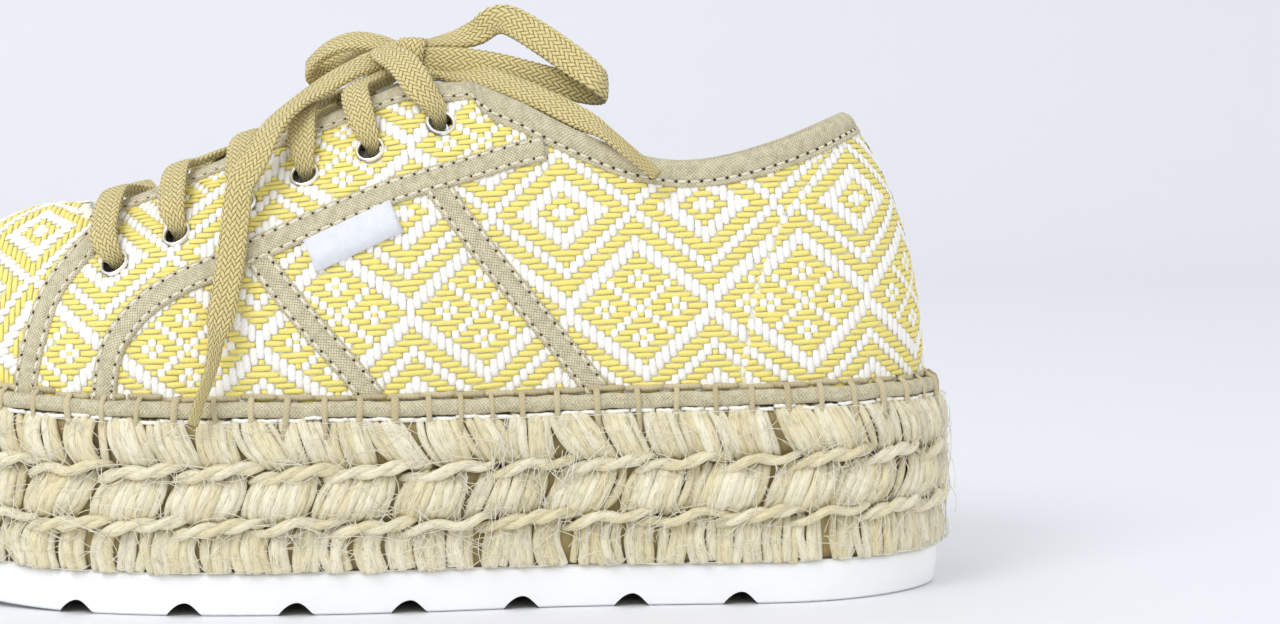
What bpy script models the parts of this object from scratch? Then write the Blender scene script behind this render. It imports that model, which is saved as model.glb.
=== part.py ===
"""Low lace-up sneaker on a jute platform, left shoe, built piece by piece.

The toe points along -X, the outer (lateral) side is -Y and the floor is Z = 0.
Sizes are in millimetres unless a name says otherwise; meshes are in metres.

The shoe's form is one function, the skin: a closed ring of sections round the foot, each a curve that
rises from the foot line to the top line. Wall, tongue, tapes, tag, eyelets and laces all stand on it.
"""
import math
from typing import NamedTuple

import bmesh
import bpy
import numpy as np

MM = 0.001

# ---------------------------------------------------------------- driving sizes
WALL = 2.0                  # upper's fabric and lining
GAP = 0.3                   # clear space between pieces that touch
FOOT_INSET = 5.2            # upper's foot line inside the platform's widest line
SOLE_THICKNESS = 10.0
SOLE_INSET = 0.9
DECK_HEIGHT = 44.3          # top of the jute platform under the ball
HEEL_RISE = 1.9             # how much higher the platform is at the heel
TOE_SPRING = 8.0
SPRING_START = -62.0        # the sole leaves the floor in front of this
DECK_SPRING_START = -48.0
TOE_END = -133.2
NOTCH_PITCH = 25.2
NOTCH_FIRST = -94.5
NOTCH_COUNT = 8
NOTCH_HALF_WIDTH = 4.7
NOTCH_DEPTH = 3.1
GROOVES = (0.0, 0.30, 0.645, 1.0)   # platform layers as shares of its height
CORD_RADIUS = 1.5
PIPING_HEIGHT = 3.6
PIPING_WIDTH = 3.5
THROAT_FRONT = -77.0
THROAT_BACK = 40.0          # behind this the top line is the collar itself
THROAT_ROUND = 7.0          # length of the throat's rounded front
THROAT_HALF = 12.5
THROAT_SPREAD = 0.033       # how fast the throat widens towards the ankle
TAPE_WIDTH = 5.9
TAPE_THICKNESS = 0.8
TAPE_LIFT = 0.38            # tapes' underside over the wall's smooth form
BINDING_WIDTH = 5.2
BINDING_INNER = 4.5
BINDING_THICKNESS = 0.9
BINDING_START = 3.1         # row of the sections where the binding starts
EYELET_OUTER = 3.75
EYELET_HOLE = 2.35
EYELET_BARREL = 2.75
HOLE_RADIUS = 3.05
TONGUE_SINK = 4.9           # tongue's top face under the skin
TONGUE_THICKNESS = 1.8
TONGUE_HALF = 18.5
INSOLE_THICKNESS = 3.0
LACE_WIDTH = 6.8
LACE_THICKNESS = 2.3
LACE_TUBE_RADIUS = 1.5
COLUMNS = 60                # faces round the shoe
CLOSE_PLACES = (2.8, 7.0, 7.4)    # extra places where the top edge turns
SMALL = 1e-3


class Section(NamedTuple):
    """One section of the last, from the toe (first) to the heel (last), in millimetres.

    lateral_* and medial_* are the platform's widest line, top_* the top line (top_half is its distance
    from the middle line top_mid). The curve between them leaves the foot line by `up` and `out` and
    meets the top line after `reach` outward and `drop` down.
    """

    lateral_x: float
    lateral_y: float
    medial_x: float
    medial_y: float
    top_x: float
    top_mid: float
    top_half: float
    top_z: float
    up: float
    out: float
    reach: float
    drop: float


SECTIONS = (
    #        lat_x   lat_y   med_x  med_y   top_x  mid  half   top_z   up   out  reach drop
    Section(-133.2,   10.0, -133.2,  10.0, -100.0, 4.0,  0.0,  86.2, 18.0, 3.0, 15.0,  6.0),   # toe
    Section(-123.5,  -13.8, -128.5,  30.6,  -98.0, 4.0,  0.0,  87.2, 18.0, 3.0, 16.0,  5.0),
    Section(-102.0,  -32.0, -112.0,  43.6,  -88.0, 3.0,  0.0,  91.4, 20.0, 3.0, 21.0,  2.0),
    Section( -74.5,  -43.8,  -85.0,  48.6,  -70.0, 1.5,  0.0,  93.4, 25.0, 3.0, 21.0,  1.5),   # vamp
    Section( -42.0,  -48.8,  -52.0,  47.4,  -42.0, 0.0,  0.0, 105.2, 32.0, 3.0, 25.0,  2.0),   # ball
    Section(  -8.0,  -47.2,  -18.0,  39.5,  -14.0, 0.0,  0.0, 119.4, 38.0, 2.0, 25.0,  2.0),
    Section(  20.0,  -42.8,   16.0,  33.5,    6.0, 0.0,  0.0, 126.2, 40.0, 0.0, 26.0,  0.5),   # instep
    Section(  38.0,  -39.3,   35.0,  31.8,   23.0, 0.0, 17.0, 119.3, 36.0, 0.0,  9.5,  8.5),
    Section(  57.0,  -37.2,   54.0,  31.5,   44.0, 0.0, 24.5, 108.3, 28.0, 0.5,  4.0, 18.0),
    Section(  81.0,  -35.5,   80.0,  32.8,   67.0, 0.0, 27.0, 101.5, 26.0, 1.0,  3.0, 16.0),   # collar
    Section( 105.5,  -30.8,  105.5,  29.8,   89.5, 0.0, 24.0, 105.4, 26.0, 2.5,  4.0, 18.0),
    Section( 125.8,  -16.8,  125.8,  16.8,  103.0, 0.0, 14.0, 110.8, 25.0, 4.0, 11.0, 17.0),
    Section( 133.2,    0.0,  133.2,   0.0,  108.3, 0.0,  0.0, 113.4, 24.0, 3.6, 14.0, 15.0),   # heel
)
HALF_TURN = len(SECTIONS) - 1
FULL_TURN = 2 * HALF_TURN

EYELETS = (                 # x and z of each pair's centre, from the toe up
    (-63.5, 78.6),
    (-49.1, 85.4),
    (-34.2, 92.5),
    (-20.0, 99.1),
    (-4.8, 105.0),
    (11.2, 111.3),
)
FRONT_TAPE = ((-70.4, 83.6), (-73.9, 78.6), (-77.2, 73.5), (-79.2, 68.3), (-80.7, 61.8), (-82.2, 53.8), (-82.6, 51.5))
EYESTAY_TAPE = ((-63.6, 50.3), (-62.3, 57.6), (-59.4, 63.8), (-54.0, 69.8), (-46.0, 74.8), (-35.9, 79.0),
                (-19.0, 86.8), (-0.1, 94.8), (18.4, 100.5), (26.5, 103.0))
FORE_SLANT_TAPE = ((-26.4, 77.0), (-17.7, 66.6), (-8.3, 56.0), (-4.6, 51.6))
AFT_SLANT_TAPE = ((12.6, 94.4), (21.8, 82.2), (34.2, 67.0), (46.0, 53.0))
TAG = ((-17.3, 78.9), (2.4, 88.3))

KNOT = (1.6, -1.5, 130.2)
KNOT_SIZE = (8.2, 8.5, 7.6)
FORE_LOOP = ((-3.8, 1.8, 130.8), (-8.5, 3.2, 132.2), (-13.9, 5.2, 132.4), (-19.2, 8.2, 130.6),
             (-23.8, 12.0, 127.2), (-25.6, 16.4, 123.8), (-22.8, 19.8, 122.4), (-17.4, 18.6, 124.0),
             (-12.6, 14.4, 126.4), (-8.4, 9.8, 128.4), (-4.2, 5.4, 129.8))
FORE_END = ((-4.1, -3.6, 128.6), (-8.6, -6.2, 125.6), (-13.7, -10.4, 122.8), (-18.6, -14.5, 119.2),
            (-23.3, -20.0, 115.8), (-27.6, -26.5, 110.8), (-30.4, -32.0, 104.6), (-32.7, -35.0, 100.0),
            (-34.5, -36.8, 95.9), (-34.6, -39.5, 86.8), (-35.3, -42.2, 79.4), (-36.0, -44.6, 73.9),
            (-36.6, -47.4, 66.7), (-36.9, -49.0, 61.2), (-37.6, -50.0, 55.7), (-38.8, -50.8, 52.2),
            (-39.9, -52.0, 48.5), (-41.0, -53.0, 44.2))
REAR_LOOP = ((7.4, 0.8, 131.0), (13.0, 0.0, 134.6), (18.8, -1.2, 137.0), (23.6, -2.6, 137.2),
             (29.2, -3.8, 134.6), (38.8, -5.8, 129.6), (46.6, -7.8, 125.4), (49.6, -10.2, 122.2),
             (46.2, -12.2, 120.4), (37.0, -12.4, 121.5), (28.0, -11.4, 123.4), (18.6, -9.4, 125.2),
             (12.0, -6.8, 126.2), (7.4, -4.6, 126.8))
REAR_END = ((7.6, -1.4, 125.6), (14.0, -5.2, 123.2), (20.6, -9.6, 120.8), (28.0, -13.6, 118.2),
            (35.4, -17.0, 115.8), (42.4, -19.6, 113.2), (47.6, -22.6, 110.8), (51.6, -27.6, 108.2),
            (56.0, -32.6, 103.9), (62.4, -34.4, 98.8))


# ---------------------------------------------------------------- the skin
class ClosedSpline:
    """Smooth curve through evenly numbered rows of a closed ring, with every column alike."""

    def __init__(self, rows):
        self.rows = np.array(rows, dtype=float)
        size = len(self.rows)
        here = np.eye(size)
        weights = 4.0 * here + np.roll(here, 1, axis=0) + np.roll(here, -1, axis=0)
        jumps = np.roll(self.rows, -1, axis=0) - 2.0 * self.rows + np.roll(self.rows, 1, axis=0)
        self.bends = np.linalg.solve(weights, 6.0 * jumps)

    def at(self, place):
        """Rows at any places along the ring; whole numbers are the given rows."""
        place = np.asarray(place, dtype=float)
        first = np.floor(place).astype(int)
        share = (place - first)[..., None]
        rest = 1.0 - share
        first = first % len(self.rows)
        second = (first + 1) % len(self.rows)
        straight = rest * self.rows[first] + share * self.rows[second]
        bent = (rest**3 - rest) * self.bends[first] + (share**3 - share) * self.bends[second]
        return straight + bent / 6.0


def ring_rows():
    """Rows all round the foot: toe, lateral side, heel, medial side; outline first, then the rest."""
    lateral = [(row.lateral_x, row.lateral_y) + tuple(row._replace(top_half=-row.top_half)[4:])
               for row in SECTIONS]
    medial = [(row.medial_x, row.medial_y) + tuple(row[4:]) for row in SECTIONS]
    return lateral + medial[-2:0:-1]


RING = ClosedSpline(ring_rows())


def unit(vectors):
    """Vectors made one long."""
    return vectors / np.linalg.norm(vectors, axis=-1, keepdims=True)


def outline(place, inset=0.0):
    """Plan point of the platform's line at any place, moved inward by `inset`."""
    ahead = RING.at(np.asarray(place) + SMALL)[..., :2]
    behind = RING.at(np.asarray(place) - SMALL)[..., :2]
    along = unit(ahead - behind)
    outward = np.stack([along[..., 1], -along[..., 0]], axis=-1)
    inward = np.asarray(inset, dtype=float)[..., None]
    return RING.at(place)[..., :2] - outward * inward, outward


def floor_height(x):
    """Height of the sole's underside: flat, with the toe sprung up."""
    ahead = np.clip((SPRING_START - x) / (SPRING_START - TOE_END), 0.0, None)
    return TOE_SPRING * ahead**2


def deck_height(x):
    """Height of the jute platform's top."""
    ahead = np.clip((DECK_SPRING_START - x) / (DECK_SPRING_START - TOE_END), 0.0, None)
    behind = np.clip((x - 10.0) / 100.0, 0.0, 1.0)
    return DECK_HEIGHT + TOE_SPRING * ahead**2 + HEEL_RISE * behind


def side_of(place):
    """-1 on the lateral half of the ring, +1 on the medial half."""
    return np.where(np.asarray(place) % FULL_TURN <= HALF_TURN, -1.0, 1.0)


def skin_point(place, share):
    """Point of the upper's outer face: place along the ring, share of the way up its section."""
    place, share = np.broadcast_arrays(np.asarray(place, float), np.asarray(share, float))
    values = RING.at(place)
    foot_plan, outward = outline(place, np.full(place.shape, FOOT_INSET))
    top_x, top_mid, top_half, top_z, up, out, reach, drop = np.moveaxis(values[..., 2:], -1, 0)
    side = side_of(place)
    top_y = top_mid + side * np.maximum(side * top_half, 0.0)
    flat = np.zeros(place.shape)
    away = np.stack([outward[..., 0], outward[..., 1], flat], axis=-1)
    rise = np.stack([flat, flat, flat + 1.0], axis=-1)
    foot = np.stack([foot_plan[..., 0], foot_plan[..., 1], deck_height(foot_plan[..., 0]) + GAP], axis=-1)
    top = np.stack([top_x, top_y, top_z], axis=-1)
    lower = foot + rise * up[..., None] + away * out[..., None]
    upper = top + away * reach[..., None] - rise * drop[..., None]
    s = share[..., None]
    r = 1.0 - s
    return r**3 * foot + 3.0 * r * r * s * lower + 3.0 * r * s * s * upper + s**3 * top


def skin_normal(place, share):
    """Outward direction of the upper's outer face."""
    share = np.minimum(share, 1.0 - 2.0 * SMALL)
    along = skin_point(place + SMALL, share) - skin_point(place - SMALL, share)
    across = skin_point(place, share + SMALL) - skin_point(place, share - SMALL)
    return unit(np.cross(along, across))


def skin(place, share, lift=0.0):
    """Point at a height `lift` over the upper's outer face; under it when negative."""
    place, share = np.broadcast_arrays(np.asarray(place, float), np.asarray(share, float))
    return skin_point(place, share) + skin_normal(place, share) * np.asarray(lift, float)[..., None]


def place_at(side, x, share):
    """Place on one side of the ring where the skin, at this share, has the given x."""
    low = np.zeros(np.shape(x))
    high = np.full(np.shape(x), float(HALF_TURN))
    for _ in range(24):
        middle = (low + high) / 2.0
        place = middle if side < 0 else FULL_TURN - middle
        before = skin_point(place, share)[..., 0] < x
        low = np.where(before, middle, low)
        high = np.where(before, high, middle)
    return low if side < 0 else FULL_TURN - low


def locate(side, x, level, by_height=True):
    """Place and share of the skin point with this x and this z (or this distance from the middle)."""
    x, level = np.broadcast_arrays(np.asarray(x, float), np.asarray(level, float))
    low = np.full(x.shape, 0.0 if by_height else 0.4)
    high = np.ones(x.shape)
    for _ in range(24):
        middle = (low + high) / 2.0
        point = skin_point(place_at(side, x, middle), middle)
        short = point[..., 2] < level if by_height else side * point[..., 1] > level
        low = np.where(short, middle, low)
        high = np.where(short, high, middle)
    return place_at(side, x, low), low


def throat_half(x):
    """Half the width of the throat at x; its front is rounded."""
    share = np.clip((x - THROAT_FRONT) / THROAT_ROUND, 0.0, 1.0)
    return (THROAT_HALF + THROAT_SPREAD * (x - THROAT_FRONT)) * np.sqrt(1.0 - (1.0 - share) ** 2)


def top_share(place):
    """Share at which each section ends: at the throat's edge, and at 1 on the vamp and collar."""
    place = np.asarray(place, float)
    values = RING.at(place)
    low = np.full(place.shape, 0.4)
    high = np.ones(place.shape)
    for _ in range(24):
        middle = (low + high) / 2.0
        point = skin_point(place, middle)
        outside = side_of(place) * (point[..., 1] - values[..., 3]) > throat_half(point[..., 0])
        low = np.where(outside, middle, low)
        high = np.where(outside, high, middle)
    beyond = (values[..., 2] <= THROAT_FRONT + SMALL) | (values[..., 2] >= THROAT_BACK)
    closed = beyond | (low > 0.999)
    return np.where(closed, 1.0, low)


def top_edge(places):
    """Share of the top edge, the way out of the wall across it, and shares per millimetre down from it."""
    step = 2e-3
    shares = top_share(places)
    ahead = skin_point(places + step, top_share(places + step))
    behind = skin_point(places - step, top_share(places - step))
    along = unit(ahead - behind)
    up_wall = skin_point(places, shares) - skin_point(places, shares - step)
    beyond = unit(up_wall - along * np.sum(up_wall * along, axis=1)[:, None])
    lean = np.maximum(np.sum(unit(up_wall) * beyond, axis=1), 0.6)
    per_mm = step / (np.linalg.norm(up_wall, axis=1) * lean)
    return shares, beyond, per_mm


# ---------------------------------------------------------------- Blender helpers
def new_collection(name):
    """A collection in the scene."""
    collection = bpy.data.collections.new(name)
    bpy.context.scene.collection.children.link(collection)
    return collection


def finish(name, color, roughness, metallic=0.0):
    """A plain Principled material."""
    material = bpy.data.materials.new(name)
    material.use_nodes = True
    shader = material.node_tree.nodes["Principled BSDF"]
    shader.inputs["Base Color"].default_value = (*color, 1.0)
    shader.inputs["Roughness"].default_value = roughness
    shader.inputs["Metallic"].default_value = metallic
    material.diffuse_color = (*color, 1.0)
    return material


def add_object(name, mesh, collection, material):
    """Put a mesh in the scene as one named part."""
    mesh.materials.append(material)
    part = bpy.data.objects.new(name, mesh)
    collection.objects.link(part)
    return part


def mesh_from(name, build):
    """A mesh made by a function that fills a bmesh, with its faces pointing out."""
    form = bmesh.new()
    build(form)
    bmesh.ops.recalc_face_normals(form, faces=form.faces)
    mesh = bpy.data.meshes.new(name)
    form.to_mesh(mesh)
    form.free()
    return mesh


def add_points(form, points):
    """Vertices for a row of points in millimetres."""
    return [form.verts.new(tuple(point * MM)) for point in points]


def bridge(form, first, second, closed):
    """Faces between two rows of vertices."""
    count = len(first)
    for i in range(count if closed else count - 1):
        j = (i + 1) % count
        form.faces.new((first[i], first[j], second[j], second[i]))


def loft(name, rings, around=False):
    """Closed solid through closed rings of points, capped at both ends or joined round."""
    def build(form):
        rows = [add_points(form, ring) for ring in rings]
        for first, second in zip(rows, rows[1:]):
            bridge(form, first, second, closed=True)
        if around:
            bridge(form, rows[-1], rows[0], closed=True)
        else:
            form.faces.new(rows[0])
            form.faces.new(rows[-1])
    return mesh_from(name, build)


def ring_places():
    """Evenly numbered places all round the shoe."""
    return np.linspace(0.0, FULL_TURN, COLUMNS, endpoint=False)


def upper_places():
    """Places round the upper's top edge, closer where the edge turns most."""
    close = np.array(CLOSE_PLACES)
    return np.union1d(ring_places(), np.concatenate([close, FULL_TURN - close]))


def slab(name, levels):
    """Closed solid of the shoe's plan: one ring for each (inset, height function), bottom first."""
    places = ring_places()

    def cap(form, ring):
        count = len(ring)
        form.faces.new((ring[0], ring[1], ring[-1]))
        for i in range(1, count // 2 - 1):
            form.faces.new((ring[i], ring[i + 1], ring[count - i - 1], ring[count - i]))
        middle = count // 2
        form.faces.new((ring[middle - 1], ring[middle], ring[middle + 1]))

    def build(form):
        rows = []
        for inset, height in levels:
            plan, _ = outline(places, np.full(places.shape, inset))
            points = np.column_stack([plan, height(plan[:, 0])])
            rows.append(add_points(form, points))
        for first, second in zip(rows, rows[1:]):
            bridge(form, first, second, closed=True)
        cap(form, rows[0])
        cap(form, rows[-1])
    return mesh_from(name, build)


def hoop(name, inset, height, half_width, half_height, sides):
    """Closed ring round the shoe with an oval section."""
    places = ring_places()
    middle, outward = outline(places, np.full(places.shape, inset))
    level = height(middle[:, 0])
    rings = []
    for i in range(len(places)):
        ring = []
        for k in range(sides):
            angle = 2.0 * math.pi * k / sides
            plan = middle[i] + outward[i] * math.cos(angle) * half_width
            ring.append(np.array([plan[0], plan[1], level[i] + math.sin(angle) * half_height]))
        rings.append(ring)
    return loft(name, rings, around=True)


def between(low, high, share):
    """Height function a share of the way from one height function to another."""
    return lambda x: low(x) * (1.0 - share) + high(x) * share


def raised(height, amount):
    """Height function moved up."""
    return lambda x: height(x) + amount


# ---------------------------------------------------------------- sole
def make_outsole(parts, cutters, material):
    """Rubber outsole with rounded notches across its underside."""
    sole_top = raised(floor_height, SOLE_THICKNESS)
    levels = (
        (SOLE_INSET + 1.5, floor_height),
        (SOLE_INSET + 0.8, raised(floor_height, 0.8)),
        (SOLE_INSET, raised(sole_top, -1.0)),
        (SOLE_INSET + 0.9, sole_top),
    )
    outsole = add_object("outsole", slab("outsole", levels), parts, material)
    cutter_mesh = mesh_from("notch_cutter", build_notches)
    cutter = bpy.data.objects.new("notch_cutter", cutter_mesh)
    cutters.objects.link(cutter)
    cutter.hide_render = True
    cutter.display_type = "WIRE"
    cut = outsole.modifiers.new("notches", "BOOLEAN")
    cut.operation = "DIFFERENCE"
    cut.solver = "EXACT"
    cut.object = cutter


def build_notches(form):
    """Bell shaped prisms across the sole, one for each notch."""
    for i in range(NOTCH_COUNT):
        x = NOTCH_FIRST + i * NOTCH_PITCH
        base = float(floor_height(x))
        bell = [(x + NOTCH_HALF_WIDTH * s, base + NOTCH_DEPTH * math.cos(math.pi * s / 2.0) ** 1.4)
                for s in np.linspace(-0.92, 0.92, 9)]
        profile = [(bell[0][0], base - 4.0)] + bell + [(bell[-1][0], base - 4.0)]
        ends = [add_points(form, np.array([(px, y, pz) for px, pz in profile])) for y in (-70.0, 70.0)]
        bridge(form, ends[0], ends[1], closed=True)
        form.faces.new(ends[0])
        form.faces.new(ends[1])


def make_braids(parts, material):
    """Three jute layers with rounded rims, stacked on the outsole."""
    base = raised(floor_height, SOLE_THICKNESS)
    names = ("braid_lower", "braid_middle", "braid_upper")
    for name, low_share, high_share in zip(names, GROOVES, GROOVES[1:]):
        low = raised(between(base, deck_height, low_share), GAP if low_share == 0.0 else GAP / 2.0)
        high = raised(between(base, deck_height, high_share), -GAP / 2.0 if high_share < 1.0 else 0.0)
        low_rim = (1.6, 1.2) if low_share == 0.0 else (5.0, 2.9)
        high_rim = (1.8, 1.2) if high_share == 1.0 else (5.0, 2.9)
        levels = (
            (low_rim[0], low),
            (0.0, raised(low, low_rim[1] + 0.8)),
            (0.0, raised(high, -high_rim[1] - 0.8)),
            (high_rim[0], high),
        )
        add_object(name, slab(name, levels), parts, material)


def make_seam_cords(parts, material):
    """Twisted cords that lie in the two grooves between the jute layers."""
    base = raised(floor_height, SOLE_THICKNESS)
    for name, share in (("seam_cord_lower", GROOVES[1]), ("seam_cord_upper", GROOVES[2])):
        level = between(base, deck_height, share)
        mesh = hoop(name, 1.4, level, CORD_RADIUS, CORD_RADIUS, sides=4)
        add_object(name, mesh, parts, material)


def make_piping(parts, material):
    """Fabric covered piping on the platform, round the foot of the upper."""
    level = raised(deck_height, GAP + PIPING_HEIGHT / 2.0)
    inset = FOOT_INSET - GAP - 0.2 - PIPING_WIDTH / 2.0
    mesh = hoop("piping", inset, level, PIPING_WIDTH / 2.0, PIPING_HEIGHT / 2.0, sides=5)
    add_object("piping", mesh, parts, material)


def make_insole(parts, material):
    """Flat insole on the platform, inside the upper."""
    inset = FOOT_INSET + WALL + 0.6
    low = raised(deck_height, GAP)
    high = raised(low, INSOLE_THICKNESS)
    levels = ((inset, low), (inset, raised(high, -0.8)), (inset + 0.8, high))
    add_object("insole", slab("insole", levels), parts, material)


# ---------------------------------------------------------------- upper and what is sewn to it
def build_upper_face(form):
    """Outer face of the upper, with both halves of the vamp joined along its middle line."""
    places = upper_places()
    ends, _, per_mm = top_edge(places)
    rows = 6
    columns = []
    for place, end, down in zip(places, ends, BINDING_WIDTH * per_mm):
        shares = np.append(np.linspace(0.0, end - down, rows), end)
        columns.append(add_points(form, skin_point(np.full(rows + 1, place), shares)))
    for i, first in enumerate(columns):
        second = columns[(i + 1) % len(columns)]
        bridge(form, first, second, closed=False)
    bmesh.ops.remove_doubles(form, verts=form.verts, dist=2e-5)


def eyelet_seats():
    """Name, centre on the skin and outward direction of every eyelet."""
    seats = []
    for side, side_name in ((-1, "lateral"), (1, "medial")):
        for number, (x, z) in enumerate(EYELETS, start=1):
            place, share = locate(side, x, z)
            seats.append((f"eyelet_{side_name}_{number}", skin_point(place, share), skin_normal(place, share)))
    return seats


def disc_frame(normal):
    """Two directions across a normal."""
    first = unit(np.cross(normal, np.array([0.0, 0.0, 1.0])))
    return first, np.cross(normal, first)


def turned(centre, normal, profile, sides):
    """Rings of points turned round an axis: one ring for each (radius, height) of the profile."""
    first, second = disc_frame(normal)
    rings = []
    for radius, height in profile:
        ring = []
        for k in range(sides):
            angle = 2.0 * math.pi * k / sides
            ring.append(centre + normal * height + (first * math.cos(angle) + second * math.sin(angle)) * radius)
        rings.append(ring)
    return rings


def build_hole_cutter(form):
    """Rods through the wall at every eyelet."""
    for _, centre, normal in eyelet_seats():
        low, high = turned(centre, normal, ((HOLE_RADIUS, -WALL - 4.0), (HOLE_RADIUS, 4.0)), sides=10)
        low = add_points(form, low)
        high = add_points(form, high)
        bridge(form, low, high, closed=True)
        form.faces.new(low)
        form.faces.new(high)


def make_upper(parts, cutters, material):
    """Hollow upper: the skin given its wall's thickness, with holes for the eyelets."""
    upper = add_object("upper", mesh_from("upper", build_upper_face), parts, material)
    wall = upper.modifiers.new("wall", "SOLIDIFY")
    wall.thickness = WALL * MM
    wall.offset = -1.0
    wall.use_even_offset = True
    wall.use_rim = True
    cutter = bpy.data.objects.new("eyelet_hole_cutter", mesh_from("eyelet_hole_cutter", build_hole_cutter))
    cutters.objects.link(cutter)
    cutter.hide_render = True
    cutter.display_type = "WIRE"
    cut = upper.modifiers.new("eyelet_holes", "BOOLEAN")
    cut.operation = "DIFFERENCE"
    cut.solver = "EXACT"
    cut.object = cutter


def make_eyelets(parts, material):
    """Turned metal eyelets: an outer flange, a barrel through the wall and a rolled inner rim."""
    profile = (
        (EYELET_HOLE, -WALL - 0.9),
        (EYELET_BARREL, -WALL - 0.6),
        (EYELET_BARREL, 0.4),
        (EYELET_OUTER, 0.7),
        (EYELET_HOLE + 0.15, 1.25),
    )
    for name, centre, normal in eyelet_seats():
        rings = turned(centre, normal, profile, sides=10)
        add_object(name, loft(name, rings, around=True), parts, material)


def make_tongue(parts, material):
    """Padded tongue under the throat, with a free end above the facings."""
    places = np.linspace(2.1, 6.0, 9)
    across = 4

    def build(form):
        rows = []
        for place in places:
            x = float(RING.at(place)[2])
            _, low = locate(-1, x, TONGUE_HALF, by_height=False)
            shares = low + (1.0 - low) * np.linspace(0.0, 1.0, across + 1)
            lateral = skin(np.full(across + 1, place), shares, np.full(across + 1, -TONGUE_SINK))
            medial = skin(np.full(across + 1, FULL_TURN - place), shares, np.full(across + 1, -TONGUE_SINK))
            middle = (lateral[-1] + medial[-1]) / 2.0
            rows.append(np.vstack([lateral[:-1], [middle], medial[-2::-1]]))
        last = rows[-1]
        for along, up, narrow in ((5.0, -0.4, 0.97), (10.0, -0.6, 0.88), (14.0, -0.4, 0.70)):
            row = last * np.array([1.0, narrow, 1.0]) + np.array([along, 0.0, up])
            rows.append(row)
        made = [add_points(form, row) for row in rows]
        for first, second in zip(made, made[1:]):
            bridge(form, first, second, closed=False)

    tongue = add_object("tongue", mesh_from("tongue", build), parts, material)
    wall = tongue.modifiers.new("thickness", "SOLIDIFY")
    wall.thickness = TONGUE_THICKNESS * MM
    wall.offset = -1.0
    wall.use_even_offset = True
    wall.use_rim = True


def make_binding(parts, material):
    """Bias tape folded over the edge of both facings and the collar."""
    every = upper_places()
    places = every[(every >= BINDING_START) & (every <= FULL_TURN - BINDING_START)]
    shares, beyond, per_mm = top_edge(places)
    edge = skin_point(places, shares)
    base = skin_point(places, shares - BINDING_WIDTH * per_mm)
    steps = unit(np.diff(edge, axis=0))
    along = np.vstack([steps[:1], steps[1:] + steps[:-1], steps[-1:]])
    face = unit(np.cross(along, edge - base))
    inner = BINDING_INNER / BINDING_WIDTH
    near = 2.2 * GAP
    far = near + BINDING_THICKNESS

    def row(down, lift, past=0.0):
        return edge + (base - edge) * down + face * lift + beyond * past

    corners = (
        row(1.0, near),
        row(1.0, far),
        row(0.0, far, 0.3 * far),
        row(0.0, -WALL / 2.0, far),
        row(0.0, -WALL - far, 0.3 * far),
        row(inner, -WALL - far),
        row(inner, -WALL - near),
        row(0.0, -WALL - near, near),
        row(0.0, near, near),
    )
    rings = [[corner[i] for corner in corners] for i in range(len(places))]
    add_object("binding", loft("binding", rings), parts, material)


def smooth_path(points, count):
    """Evenly spaced points on a smooth open curve through the given ones."""
    points = np.array(points, dtype=float)
    padded = np.vstack([2.0 * points[0] - points[1], points, 2.0 * points[-1] - points[-2]])
    dense = []
    for i in range(len(points) - 1):
        p0, p1, p2, p3 = padded[i:i + 4]
        for s in np.linspace(0.0, 1.0, 16, endpoint=False):
            a = 2.0 * p1 + (p2 - p0) * s
            b = (2.0 * p0 - 5.0 * p1 + 4.0 * p2 - p3) * s * s
            c = (3.0 * p1 - p0 - 3.0 * p2 + p3) * s**3
            dense.append((a + b + c) / 2.0)
    dense = np.array(dense + [points[-1]])
    lengths = np.concatenate([[0.0], np.cumsum(np.linalg.norm(np.diff(dense, axis=0), axis=1))])
    wanted = np.linspace(0.0, lengths[-1], count)
    return np.column_stack([np.interp(wanted, lengths, dense[:, k]) for k in range(dense.shape[1])])


def tape_on_skin(name, side, route, width, low, high, count):
    """Strip of tape laid on one side of the upper along a route given in side view."""
    path = smooth_path(route, count)
    along = unit(np.gradient(path, axis=0))
    across = np.stack([-along[:, 1], along[:, 0]], axis=1)
    rows = []
    for share in (-0.5, 0.0, 0.5):
        line = path + across * width * share
        rows.append(locate(side, line[:, 0], line[:, 1]))
    rings = []
    for i in range(count):
        under = [skin(place[i], share[i], low) for place, share in rows]
        over = [skin(place[i], share[i], high) for place, share in reversed(rows)]
        rings.append(under + over)
    return loft(name, rings)


def make_tapes(parts, material):
    """Four bias tapes on each side of the upper."""
    routes = (
        ("strip_front", FRONT_TAPE, 7),
        ("strip_eyestay", EYESTAY_TAPE, 15),
        ("strip_slant_fore", FORE_SLANT_TAPE, 5),
        ("strip_slant_aft", AFT_SLANT_TAPE, 7),
    )
    for side, side_name in ((-1, "lateral"), (1, "medial")):
        for stem, route, count in routes:
            name = f"{stem}_{side_name}"
            mesh = tape_on_skin(name, side, route, TAPE_WIDTH, TAPE_LIFT, TAPE_LIFT + TAPE_THICKNESS, count)
            add_object(name, mesh, parts, material)


def make_tag(parts, material):
    """Bare woven tag under the eyestay tape on the outer side."""
    mesh = tape_on_skin("side_tag", -1, TAG, 7.3, GAP, GAP + 0.45, 4)
    add_object("side_tag", mesh, parts, material)


# ---------------------------------------------------------------- laces
def ribbon(name, path, normals, width, thickness):
    """Flat lace along a path, wide across the normals, with rounded edges."""
    along = unit(np.gradient(path, axis=0))
    side = unit(np.cross(along, normals))
    face = np.cross(side, along)
    half = width / 2.0
    rings = []
    for centre, s, f in zip(path, side, face):
        ring = []
        for across, lift in ((1.0, 0.0), (0.8, 0.5), (-0.8, 0.5), (-1.0, 0.0), (-0.8, -0.5), (0.8, -0.5)):
            ring.append(centre + s * across * half + f * lift * thickness)
        rings.append(ring)
    return loft(name, rings)


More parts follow.
